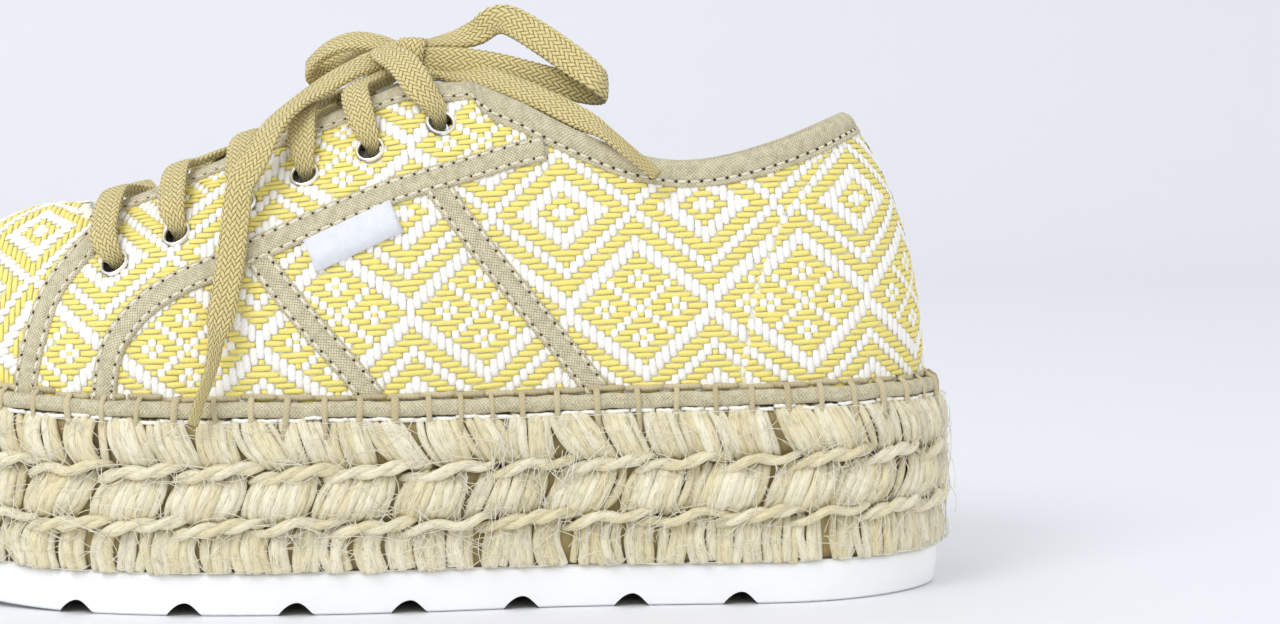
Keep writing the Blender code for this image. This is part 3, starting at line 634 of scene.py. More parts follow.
@dataclass(frozen=True)
class Cloth:
    """Fine plain-woven tape: UV in millimetres, threads on the bias."""

    name: str
    colour: Colour
    shade: Colour
    pitch: float = 0.46
    depth: float = 0.12
    bias: float = 1.0           # 1 runs the threads at 45 degrees, 0 along the piece

    def make(self) -> bpy.types.Material:
        """The material."""
        desk = Desk(self.name)
        across, along, both = desk.uv()
        slub = desk.noise(desk.scaled(both, (0.5, 1.6, 1.0)), 1.0, 2.0) * 0.5
        first = (across + along * self.bias) / self.pitch + slub
        second = (along - across * self.bias) / self.pitch + slub
        over = ((first.floor() + second.floor()) % 2.0).ramp(0.4, 0.6)
        height = first.arch() * over + second.arch() * (1.0 - over)
        wear = desk.noise(both, 0.45, 4.0, 0.6)
        speck = desk.noise(both, 2.6, 2.0, 0.6)
        # painted shade in the weave's hollows (1 - height), with random wear and specks
        deep = (1.0 - height) * 0.75 + wear.ramp(0.35, 0.7) * 0.25 + speck.ramp(0.5, 0.75) * 0.3
        return desk.finish(base_color=desk.mix(deep, self.colour, self.shade), roughness=0.9,
                           normal=desk.bump(height * self.depth + wear * 0.12), specular_ior_level=0.15,
                           sheen_weight=0.2)


@dataclass(frozen=True)
class Braid:
    """Flat tubular braid: each strand runs over two and under two on its diagonal."""

    name: str
    colour: Colour
    shade: Colour
    light: Colour
    pitch: float = 0.92
    depth: float = 0.42
    lean: float = 0.56          # sine of the strands' angle to the lace

    def make(self) -> bpy.types.Material:
        """The material."""
        desk = Desk(self.name)
        across, along, both = desk.uv()
        wobble = desk.noise(both, 0.45, 2.0) * 0.5
        upright = math.sqrt(1.0 - self.lean**2)
        first = (across * upright - along * self.lean) / self.pitch + wobble
        second = (across * upright + along * self.lean) / self.pitch + wobble
        one = (first.floor() + second) % 4.0
        other = (second.floor() + first + 2.0) % 4.0
        first_high = first.arch() * ((one / 2.0).arch() * 0.55 + 0.45) * one.ramp(2.12, 1.88)
        second_high = second.arch() * ((other / 2.0).arch() * 0.55 + 0.45) * other.ramp(2.12, 1.88)
        height = desk.math("MAXIMUM", first_high, second_high)
        hair = desk.noise(desk.scaled(both, (2.6, 2.6, 1.0)), 1.6, 3.0, 0.7)
        fine = desk.noise(both, 7.0, 2.0)
        # painted shade in the gaps between strands, with a little random tone
        deep = (1.0 - height).ramp(0.28, 0.86) * 0.95 + (1.0 - fine) * 0.10
        base = desk.mix(hair.ramp(0.35, 0.75), self.colour, self.light)
        return desk.finish(base_color=desk.mix(deep, base, self.shade), roughness=0.9,
                           normal=desk.bump(height * self.depth + fine * 0.1 + hair * 0.05),
                           specular_ior_level=0.15, sheen_weight=0.3)


@dataclass(frozen=True)
class Fibre:
    """Jute: streaks along UV y, tint from strand to strand."""

    name: str
    colour: Colour
    shade: Colour
    light: Colour
    depth: float = 0.22

    def make(self) -> bpy.types.Material:
        """The material."""
        desk = Desk(self.name)
        _, _, both = desk.uv()
        tint = desk.attribute("tint")
        streak = desk.noise(desk.scaled(both, (4.2, 0.30, 1.0)), 1.0, 5.0, 0.7)
        crossing = desk.noise(desk.scaled(both, (1.1, 2.2, 1.0)), 1.0, 4.0, 0.7)
        cloud = desk.noise(desk.object_place(), 150.0, 3.0)
        base = desk.mix((cloud * 0.6 + tint * 0.5).ramp(0.25, 0.85), self.light, self.colour)
        # dark streaks and crossings: partly the jute's own tone, partly painted shade between fibres
        dark = streak.ramp(0.50, 0.32) * 0.75 + crossing.ramp(0.62, 0.8) * 0.35
        return desk.finish(base_color=desk.mix(dark, base, self.shade), roughness=0.8,
                           normal=desk.bump(streak * self.depth + crossing * 0.08), specular_ior_level=0.3,
                           sheen_weight=0.2)


# ---------------------------------------------------------------- workbench
class Bench:
    """Makes mesh objects out of rows of points in millimetres."""

    @staticmethod
    def grid(name: str, points: Array, uv: Array | None = None, close: float = 0.0,
             solid: bool = True) -> bpy.types.Object:
        """A grid primitive shaped to rows of points.

        Args:
            name: the piece's name.
            points: rows x columns x 3.
            uv: rows x columns x 2 in millimetres, or None for measured ones.
            close: distance within which seams and poles are merged.
            solid: whether it is closed, so that its faces can be turned outward.

        Returns:
            The object, linked to the scene.
        """
        rows, columns = points.shape[:2]
        bpy.ops.object.select_all(action="DESELECT")
        bpy.ops.mesh.primitive_grid_add(x_subdivisions=columns - 1, y_subdivisions=rows - 1, size=1.0)
        piece = bpy.context.object
        piece.name = name
        mesh = piece.data
        mesh.name = name
        mesh.vertices.foreach_set("co", (points.reshape(-1, 3) * MM).ravel())
        if uv is None:
            uv = Bench.measured(points)
        corners = np.empty(len(mesh.loops), dtype=np.int32)
        mesh.loops.foreach_get("vertex_index", corners)
        mesh.uv_layers[0].name = "UVMap"
        mesh.uv_layers[0].data.foreach_set("uv", uv.reshape(-1, 2)[corners].ravel())
        Bench.tidy(piece, close, solid)
        return piece

    @staticmethod
    def tidy(piece: bpy.types.Object, close: float, solid: bool = True) -> None:
        """Merge what meets, turn closed forms outward and shade smooth."""
        form = bmesh.new()
        form.from_mesh(piece.data)
        if close:
            bmesh.ops.remove_doubles(form, verts=form.verts, dist=close * MM)
            bmesh.ops.dissolve_degenerate(form, edges=form.edges, dist=1e-8)
        if solid:
            bmesh.ops.recalc_face_normals(form, faces=form.faces)
        for face in form.faces:
            face.smooth = True
        form.to_mesh(piece.data)
        form.free()
        piece.data.update()

    @staticmethod
    def joined(pieces: Sequence[bpy.types.Object]) -> bpy.types.Object:
        """Several pieces as one."""
        bpy.ops.object.select_all(action="DESELECT")
        for piece in pieces:
            piece.select_set(True)
        bpy.context.view_layer.objects.active = pieces[0]
        bpy.ops.object.join()
        return pieces[0]

    @staticmethod
    def cut(piece: bpy.types.Object, cutter: bpy.types.Object) -> None:
        """Apply a piece's modifiers, then take a cutter out of it."""
        hole = piece.modifiers.new("cut", "BOOLEAN")
        hole.operation = "DIFFERENCE"
        hole.solver = "EXACT"
        hole.object = cutter
        bpy.ops.object.select_all(action="DESELECT")
        bpy.context.view_layer.objects.active = piece
        piece.select_set(True)
        for name in [modifier.name for modifier in piece.modifiers]:
            bpy.ops.object.modifier_apply(modifier=name)
        bpy.data.objects.remove(cutter, do_unlink=True)

    @staticmethod
    def capped(points: Array) -> Array:
        """Rows of a strip, with both ends drawn in to a point."""
        first, final = (rows.mean(axis=1, keepdims=True) + 0.0 * rows for rows in (points[:1], points[-1:]))
        return np.concatenate([first, points, final])

    @staticmethod
    def measured(points: Array) -> Array:
        """UV in millimetres: x is the distance along each row, y the mean distance down the columns."""
        along = np.linalg.norm(np.diff(points, axis=0), axis=2).mean(axis=1)
        x = travelled(points)
        y = np.concatenate([[0.0], np.cumsum(along)])
        return np.stack([x, np.broadcast_to(y[:, None], x.shape)], axis=2)

    @staticmethod
    def swarm(name: str, rings: Array, uv: Array, tint: Array, poles: tuple[Array, Array] | None = None
              ) -> bpy.types.Object:
        """Many copies of one closed tube, already put in place, as one mesh.

        Args:
            name: the piece's name.
            rings: copies x stations x corners x 3.
            uv: copies x stations x (corners + 1) x 2 in millimetres.
            tint: one number for each copy, from 0 to 1.
            poles: points that close each copy's two ends; left out, they are the end rings' middles.

        Returns:
            The object, linked to the scene.
        """
        copies, stations, corners = rings.shape[:3]
        first_pole, last_pole = poles if poles is not None else (rings[:, 0].mean(axis=1), rings[:, -1].mean(axis=1))
        each = stations * corners + 2
        points = np.concatenate([rings.reshape(copies, -1, 3), first_pole[:, None], last_pole[:, None]], axis=1)
        i, k = np.meshgrid(np.arange(stations - 1), np.arange(corners), indexing="ij")
        n = (k + 1) % corners
        quads = np.stack([i * corners + k, i * corners + n, (i + 1) * corners + n, (i + 1) * corners + k], axis=-1)
        quad_uv = np.stack([i * (corners + 1) + k, i * (corners + 1) + k + 1,
                            (i + 1) * (corners + 1) + k + 1, (i + 1) * (corners + 1) + k], axis=-1)
        k = np.arange(corners)
        n = (k + 1) % corners
        low = np.stack([np.full(corners, each - 2), n, k], axis=-1)
        last = (stations - 1) * corners
        high = np.stack([np.full(corners, each - 1), last + k, last + n], axis=-1)
        low_uv = np.stack([k, k + 1, k], axis=-1)
        last_uv = (stations - 1) * (corners + 1)
        high_uv = np.stack([last_uv + k, last_uv + k, last_uv + k + 1], axis=-1)
        offsets = np.arange(copies)[:, None] * each
        uv_offsets = np.arange(copies)[:, None] * stations * (corners + 1)
        four = (quads.reshape(1, -1) + offsets).ravel()
        three = (np.concatenate([low, high]).reshape(1, -1) + offsets).ravel()
        four_uv = (quad_uv.reshape(1, -1) + uv_offsets).ravel()
        three_uv = (np.concatenate([low_uv, high_uv]).reshape(1, -1) + uv_offsets).ravel()
        mesh = bpy.data.meshes.new(name)
        mesh.vertices.add(copies * each)
        mesh.vertices.foreach_set("co", (points.reshape(-1, 3) * MM).ravel())
        mesh.loops.add(len(four) + len(three))
        mesh.loops.foreach_set("vertex_index", np.concatenate([four, three]).astype(np.int32))
        starts = np.concatenate([np.arange(len(four) // 4) * 4, len(four) + np.arange(len(three) // 3) * 3])
        mesh.polygons.add(len(starts))
        mesh.polygons.foreach_set("loop_start", starts.astype(np.int32))
        mesh.update(calc_edges=True)
        flat = uv.reshape(-1, 2)
        layer = mesh.uv_layers.new(name="UVMap")
        layer.data.foreach_set("uv", np.concatenate([flat[four_uv], flat[three_uv]]).ravel())
        store = mesh.attributes.new("tint", "FLOAT", "POINT")
        store.data.foreach_set("value", np.repeat(tint, each))
        mesh.polygons.foreach_set("use_smooth", np.ones(len(starts), dtype=bool))
        piece = bpy.data.objects.new(name, mesh)
        bpy.context.scene.collection.objects.link(piece)
        return piece

    @staticmethod
    def tubes(name: str, lines: Array, radius: Array | float, tint: Array, corners: int = 5,
              face: Array | None = None, flatness: float = 1.0) -> bpy.types.Object:
        """Closed tubes along many lines at once.

        Args:
            name: the piece's name.
            lines: copies x stations x 3.
            radius: half width at each station of each copy, in millimetres.
            tint: one number for each copy.
            corners: sides of each tube.
            face: the way each tube's flat side looks, copies x stations x 3.
            flatness: thickness over width.

        Returns:
            The object.
        """
        copies, stations = lines.shape[:2]
        along = unit(np.gradient(lines, axis=1))
        if face is None:
            face = np.broadcast_to(np.array([0.0, -0.35, 0.94]), lines.shape)
        side = unit(np.cross(along, face))
        face = np.cross(side, along)
        angle = np.arange(corners) * 2.0 * math.pi / corners + 0.3
        size = np.broadcast_to(np.asarray(radius, float), (copies, stations))[:, :, None, None]
        rings = (lines[:, :, None] + side[:, :, None] * np.cos(angle)[:, None] * size
                 + face[:, :, None] * np.sin(angle)[:, None] * size * flatness)
        length = travelled(lines)
        round_it = np.arange(corners + 1) / corners
        uv = np.stack(np.broadcast_arrays(round_it[None, None] * 2.0 * math.pi * size[..., 0].mean(),
                                          length[:, :, None] + np.arange(copies)[:, None, None] * 3.7), axis=-1)
        return Bench.swarm(name, rings, uv, tint)

    @staticmethod
    def dress(piece: bpy.types.Object, material: bpy.types.Material, slot: str, *nodes: str) -> bpy.types.Object:
        """Give a piece its finish and its place on the frame, and hide the CAD nodes that it stands for."""
        if not piece.data.materials:
            piece.data.materials.append(material)
        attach(piece, "root")
        if nodes:
            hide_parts(*nodes)
        LOG.info("%s: %d faces", piece.name, len(piece.data.polygons))
        return piece


@dataclass(frozen=True)
class Wardrobe:
    """The shoe's finishes, each made once."""

    rubber: bpy.types.Material
    jute: bpy.types.Material
    jute_deep: bpy.types.Material
    cord: bpy.types.Material
    hair: bpy.types.Material
    tape: bpy.types.Material
    stitch: bpy.types.Material
    whip: bpy.types.Material
    needle: bpy.types.Material
    white: bpy.types.Material
    yellow: bpy.types.Material
    ground: bpy.types.Material
    lining: bpy.types.Material
    lace: bpy.types.Material
    metal: bpy.types.Material
    tag: bpy.types.Material
    notch: bpy.types.Material

    @classmethod
    def open(cls) -> "Wardrobe":
        """Make every finish."""
        return cls(
            rubber=Plain("rubber_white", srgb(250, 251, 250), 0.45, 0.02, 0.03).make(),
            jute=Fibre("jute_strand", srgb(234, 223, 182), srgb(140, 120, 70), srgb(246, 240, 214)).make(),
            # darker jute for the cores behind the strands: painted shade in the gaps between them
            jute_deep=Fibre("jute_deep", srgb(150, 130, 82), srgb(84, 66, 32), srgb(176, 158, 108)).make(),
            cord=Fibre("jute_cord", srgb(230, 219, 178), srgb(140, 120, 72), srgb(243, 236, 208)).make(),
            hair=Plain("jute_hair", srgb(250, 246, 228), 0.6, 0.05, 0.0).make(),
            tape=Cloth("tape_khaki", srgb(233, 224, 190), srgb(104, 88, 48), 0.86, 0.22).make(),
            stitch=Thread("stitch_khaki", srgb(248, 244, 226), srgb(196, 186, 154), 0.6, 0.05).make(),
            whip=Thread("whip_khaki", srgb(216, 204, 168), srgb(158, 144, 106), 0.9, 0.08).make(),
            # dark tubes at the needle holes: painted shade
            needle=Plain("needle_hole", srgb(78, 66, 40), 0.95, 0.1).make(),
            white=Thread("yarn_white", srgb(255, 254, 250), srgb(246, 242, 226), 1.15, 0.08).make(),
            yellow=Thread("yarn_yellow", srgb(247, 234, 138), srgb(245, 226, 120), 0.95, 0.08).make(),
            ground=Plain("cloth_ground", srgb(255, 252, 228), 0.95, 0.06, 0.1, 700.0).make(),
            lining=Cloth("lining_white", srgb(244, 244, 240), srgb(222, 222, 214), 0.5, 0.04, 0.0).make(),
            lace=Braid("lace_olive", srgb(222, 202, 126), srgb(70, 48, 0), srgb(244, 232, 180)).make(),
            metal=Metal("eyelet_nickel", (0.60, 0.59, 0.57)).make(),
            tag=Cloth("tag_white", srgb(240, 242, 246), srgb(206, 211, 220), 0.34, 0.05, 0.0).make(),
            # dark finish for the notches' cut faces: painted shade in the notches
            notch=Plain("notch_olive", srgb(104, 94, 62), 0.9, 0.05).make(),
        )


# ---------------------------------------------------------------- camera, light and floor
@dataclass(frozen=True)
class Studio:
    """Camera, soft lights and a pale sweep."""

    place: tuple[float, float, float] = (0.0583, -0.5475, 0.105)
    lens: float = 62.58
    shift: float = -0.12625
    floor: Colour = srgb(235, 236, 240)
    sky: Colour = srgb(243, 244, 248)
    brightness: float = 1.0
    far: float = 1300.0         # y where the sweep starts to rise
    cove: float = 500.0         # radius of its curve
    half_width: float = 2600.0

    def camera(self) -> None:
        """The scene's camera, looking along +Y."""
        data = bpy.data.cameras.new("camera")
        data.lens = self.lens
        data.sensor_width = 36.0
        data.shift_y = self.shift
        data.dof.use_dof = False
        camera = bpy.data.objects.new("camera", data)
        camera.location = self.place
        camera.rotation_euler = (math.pi / 2.0, 0.0, 0.0)
        bpy.context.scene.collection.objects.link(camera)
        bpy.context.scene.camera = camera

    def lamp(self, name: str, place: Array, target: Array, size: float, power: float) -> None:
        """A square soft light."""
        data = bpy.data.lights.new(name, "AREA")
        data.size = size
        data.energy = power
        lamp = bpy.data.objects.new(name, data)
        lamp.location = place
        from_lamp = unit(np.array(target) - np.array(place))
        turn = math.atan2(from_lamp[1], from_lamp[0]) - math.pi / 2.0
        lamp.rotation_euler = (math.acos(-from_lamp[2]), 0.0, turn)
        bpy.context.scene.collection.objects.link(lamp)

    def build(self) -> None:
        """Lights, sky and floor."""
        scene = bpy.context.scene
        scene.view_settings.view_transform = "Standard"
        world = bpy.data.worlds.new("soft_sky")
        scene.world = world
        world.use_nodes = True
        sky = world.node_tree.nodes["Background"]
        sky.inputs["Color"].default_value = (*self.sky, 1.0)
        sky.inputs["Strength"].default_value = self.brightness
        self.lamp("key", (-0.55, -0.75, 0.95), (0.0, 0.0, 0.06), 0.6, 6.0)
        self.lamp("fill", (0.7, -0.8, 0.5), (0.0, 0.0, 0.06), 0.8, 0.3)
        self.lamp("backdrop", (-0.8, 0.9, 1.3), (-0.5, 1.75, 0.55), 0.8, 1.7)
        turn, cove, far = np.linspace(0.1, 1.57, 10), self.cove, self.far
        depth = np.concatenate([np.linspace(-900.0, far, 12), far + cove * np.sin(turn), np.full(4, far + cove)])
        rise = np.concatenate([np.zeros(12), cove - cove * np.cos(turn), np.array([700.0, 1100.0, 1700.0, 2600.0])])
        wide = np.linspace(-self.half_width, self.half_width, 9)
        points = np.stack(np.broadcast_arrays(wide[None], depth[:, None], rise[:, None]), axis=2)
        sweep = Bench.grid("floor_sweep", points, solid=False)
        sweep.data.materials.append(Plain("floor_pale", self.floor, 0.7, 0.0, 0.0).make())


# ---------------------------------------------------------------- laces
@dataclass(frozen=True)
class Ribbon:
    """A flat braided lace along a path."""

    width: float = 7.0
    thick: float = 2.2
    around: int = 40
    step: float = 0.42

    def build(self, name: str, path: Array, faces: Array, widths: Array | None = None,
              thicks: Array | None = None) -> bpy.types.Object:
        """The lace's mesh.

        Args:
            name: the piece's name.
            path: its centreline.
            faces: the way its flat side looks at each point.
            widths: share of the full width at each point.
            thicks: share of the full thickness at each point.

        Returns:
            The object, with UV across and along it in millimetres.
        """
        count = max(8, int(path_length(path) / self.step))
        ones = np.ones(len(path))
        rows = np.column_stack([path, faces, ones if widths is None else widths, ones if thicks is None else thicks])
        rows = smooth_path(rows, count)
        centre, face, wide, thick = rows[:, :3], rows[:, 3:6], rows[:, 6], rows[:, 7]
        along = unit(np.gradient(centre, axis=0))
        side = unit(np.cross(along, face))
        face = np.cross(side, along)
        angle = np.linspace(0.0, 2.0 * math.pi, self.around + 1)
        x, y = squared(np.cos(angle), 0.75), squared(np.sin(angle), 0.65)
        length = np.linspace(0.0, path_length(centre), count)
        girth = np.concatenate([[0.0], np.cumsum(np.hypot(np.diff(x) * self.width / 2, np.diff(y) * self.thick / 2))])
        rough = 1.0 + 0.03 * np.sin(girth[None] * 4.1 + length[:, None] * 3.3) \
            + 0.025 * np.sin(girth[None] * 3.3 - length[:, None] * 3.9)
        half = self.width / 2.0 * wide[:, None, None] * rough[..., None]
        deep = self.thick / 2.0 * thick[:, None, None] * rough[..., None]
        points = (centre[:, None] + side[:, None] * x[None, :, None] * half + face[:, None] * y[None, :, None] * deep)
        ends = [(1.0 - share) * points[0] + share * centre[0] for share in (1.0, 0.6, 0.25)]
        tails = [(1.0 - share) * points[-1] + share * centre[-1] for share in (0.25, 0.6, 1.0)]
        points = np.concatenate([np.array(ends), points, np.array(tails)])
        run = np.concatenate([[0.0] * 3, length, [length[-1]] * 3])
        uv = np.stack(np.broadcast_arrays(girth[None], run[:, None]), axis=2)
        return Bench.grid(name, points, uv, close=0.003)


class Stations(NamedTuple):
    """A free lace's route: rows of x, y, z, face x, face y, face z, width share."""

    rows: Route

    @property
    def path(self) -> Array:
        """Centre points."""
        return np.array(self.rows)[:, :3]

    @property
    def faces(self) -> Array:
        """Directions of the flat side."""
        return unit(np.array(self.rows)[:, 3:6])

    @property
    def widths(self) -> Array:
        """Shares of the width."""
        return np.array(self.rows)[:, 6]


@dataclass(frozen=True)
class Bow:
    """Knot, two loops and two ends of the lace."""

    ribbon: Ribbon = Ribbon()
    knot_place: tuple[float, float, float] = (2.0, -1.6, 128.0)
    fore_loop: Stations = Stations((
        (-1.6, 1.2, 130.0, 0.1, -0.5, 0.9, 0.8), (-7.6, 2.4, 131.6, 0.0, -0.6, 0.8, 0.95),
        (-13.9, 4.4, 131.9, -0.3, -0.6, 0.8, 1.0), (-19.2, 7.4, 130.3, -0.6, -0.5, 0.7, 1.0),
        (-23.4, 11.2, 127.4, -1.0, -0.2, 0.4, 1.0), (-25.2, 15.2, 125.0, -1.0, 0.3, -0.2, 1.0),
        (-23.0, 18.2, 125.0, -0.2, 1.0, -0.4, 1.0), (-19.4, 18.2, 127.0, 0.3, 0.9, -0.4, 1.0),
        (-15.0, 15.4, 129.0, 0.3, 0.7, -0.6, 1.0), (-11.0, 11.0, 129.6, 0.3, 0.6, -0.8, 0.95),
        (-6.8, 6.6, 129.4, 0.3, 0.5, -0.9, 0.9), (-2.6, 3.0, 128.8, 0.2, 0.4, -1.0, 0.8)))
    fore_end: Stations = Stations((
        (-2.2, -3.4, 128.4, 0.1, -0.8, 0.7, 0.9), (-8.2, -6.2, 126.0, -0.2, -0.8, 0.8, 1.0),
        (-13.7, -10.4, 123.0, -0.3, -0.7, 0.8, 1.0), (-18.6, -14.5, 119.4, -0.4, -0.7, 0.7, 1.0),
        (-23.3, -20.0, 115.8, -0.6, -0.7, 0.6, 1.0), (-27.4, -26.5, 110.8, -0.5, -0.8, 0.3, 1.0),
        (-29.9, -32.0, 104.6, -0.3, -0.9, 0.2, 0.96), (-32.0, -35.0, 100.0, -0.2, -1.0, 0.2, 0.94),
        (-33.7, -36.8, 95.9, -0.1, -1.0, 0.2, 0.93), (-34.3, -39.5, 86.8, 0.0, -1.0, 0.3, 0.93),
        (-34.7, -42.2, 79.4, 0.0, -1.0, 0.2, 0.93), (-35.2, -44.6, 73.9, 0.1, -1.0, 0.2, 0.92),
        (-36.0, -47.4, 66.9, 0.2, -1.0, 0.1, 0.86), (-36.6, -48.8, 62.4, 0.3, -1.0, 0.1, 0.54),
        (-37.5, -50.0, 56.2, 0.3, -1.0, 0.1, 0.40), (-38.7, -50.8, 52.2, 0.3, -1.0, 0.1, 0.37),
        (-39.9, -52.0, 48.5, 0.3, -1.0, 0.1, 0.35), (-41.2, -53.0, 43.8, 0.3, -1.0, 0.1, 0.38)))
    rear_loop: Stations = Stations((
        (4.4, 0.4, 130.6, 0.0, -0.3, 1.0, 0.8), (9.0, 0.6, 131.7, -0.1, -0.4, 0.95, 0.9),
        (13.8, 0.2, 132.6, -0.2, -0.7, 0.75, 1.0), (18.4, -1.0, 134.2, -0.2, -0.95, 0.35, 1.0),
        (22.6, -2.6, 136.8, 0.0, -1.0, 0.1, 1.0), (27.2, -4.2, 136.4, 0.1, -1.0, 0.15, 1.05),
        (35.6, -8.0, 131.3, 0.15, -1.0, 0.2, 1.08), (43.4, -11.4, 125.6, 0.3, -1.0, 0.15, 1.08),
        (48.0, -12.6, 122.0, 0.8, -0.6, 0.1, 1.08), (49.6, -9.8, 120.2, 1.0, 0.1, 0.0, 1.05),
        (46.6, -6.8, 119.8, 0.4, 0.9, 0.0, 1.05), (40.0, -6.4, 121.0, 0.0, 1.0, -0.15, 1.02),
        (31.5, -6.6, 123.2, 0.0, 1.0, -0.15, 1.0), (23.6, -6.4, 125.2, 0.0, 1.0, -0.15, 1.0),
        (15.8, -5.6, 126.6, 0.1, 1.0, -0.2, 0.95), (10.0, -4.6, 127.2, 0.1, 1.0, -0.2, 0.9),
        (5.6, -3.6, 127.4, 0.1, 1.0, -0.2, 0.8)))
    rear_end: Stations = Stations((
        (6.0, -1.6, 125.6, 0.3, -0.6, 0.8, 0.85), (14.0, -5.6, 123.6, 0.3, -0.7, 0.7, 1.0),
        (20.6, -10.0, 122.6, 0.3, -0.8, 0.6, 1.0), (28.0, -14.0, 120.0, 0.3, -0.8, 0.6, 1.0),
        (35.4, -17.4, 116.8, 0.3, -0.8, 0.6, 1.0), (41.6, -19.9, 113.8, 0.3, -0.8, 0.6, 1.0),
        (46.8, -22.4, 111.0, 0.3, -0.8, 0.6, 0.88), (50.8, -26.6, 108.6, 0.3, -0.8, 0.6, 0.55),
        (56.0, -31.4, 104.4, 0.2, -0.9, 0.3, 0.44), (62.4, -34.0, 99.2, 0.1, -1.0, 0.2, 0.4)))

    def build(self, wardrobe: Wardrobe) -> None:
        """Knot first, then the cords that leave it."""
        knot = self.knot(wardrobe)
        for name, route, far in (("lace_loop_fore", self.fore_loop, "knot"), ("lace_loop_rear", self.rear_loop, "knot"),
                                 ("lace_end_fore", self.fore_end, "bare"), ("lace_end_rear", self.rear_end, "bare")):
            piece = self.ribbon.build(f"{name}_braid", route.path, route.faces, route.widths)
            Bench.dress(piece, wardrobe.lace, "lace", name)

    def knot(self, wardrobe: Wardrobe) -> bpy.types.Object:
        """Lace wrapped once round the crossing."""
        x, y, z = self.knot_place
        turn = np.linspace(0.0, 2.0 * math.pi, 26)
        path = np.column_stack([x + 0.5 * np.sin(turn), y + 3.9 * np.cos(turn), z + 3.7 * np.sin(turn)])
        faces = np.column_stack([0.0 * turn, np.cos(turn), np.sin(turn)])
        return Bench.dress(self.ribbon.build("lace_knot_wrap", path, faces), wardrobe.lace, "lace", "lace_knot")


@dataclass(frozen=True)
class Eyelets:
    """Six metal eyelets a side, for the laces that cross the throat between them."""

    centres: tuple[tuple[float, float], ...] = ((-63.5, 78.6), (-49.1, 85.4), (-34.2, 92.5), (-20.0, 99.1),
                                                (-4.8, 105.0), (11.2, 111.3))
    hole: float = 2.65
    barrel: float = 3.0
    flange: float = 3.62
    cut: float = 3.1

    def seats(self, last: Last) -> list[tuple[str, Array, Array]]:
        """Name, centre and outward direction of every eyelet."""
        seats = []
        for side in Side:
            for number, (x, z) in enumerate(self.centres, start=1):
                place, share = last.locate(side, x, z)
                seats.append((f"eyelet_{side.word}_{number}", last.point(place, share), last.normal(place, share)))
        return seats

    def turned(self, centre: Array, normal: Array, profile: Sequence[tuple[float, float]], corners: int) -> Array:
        """Rings turned round an eyelet's axis."""
        first = unit(np.cross(normal, np.array([0.0, 0.0, 1.0])))
        second = np.cross(normal, first)
        angle = np.linspace(0.0, 2.0 * math.pi, corners + 1)
        ring = first * np.cos(angle)[:, None] + second * np.sin(angle)[:, None]
        return np.array([centre + normal * height + ring * radius for radius, height in profile])

    def build(self, last: Last, wardrobe: Wardrobe) -> None:
        """The turned metal rings."""
        flange = [(self.barrel, -last.wall - 0.7), (self.hole + 0.05, -last.wall - 0.6), (self.hole, -last.wall),
                  (self.hole, 0.5)]
        for share in np.linspace(0.0, 1.0, 9):
            crown = 0.55 + 0.62 * math.sin(math.pi * share) ** 0.8
            flange.append((self.hole + (self.flange - self.hole) * share, crown))
        flange += [(self.flange, 0.35), (self.barrel, 0.3), (self.barrel, -last.wall - 0.7)]
        for name, centre, normal in self.seats(last):
            rings = self.turned(centre, normal, flange, 32)
            Bench.dress(Bench.grid(f"{name}_ring", rings, close=0.002), wardrobe.metal, "eyelet_metal", name)


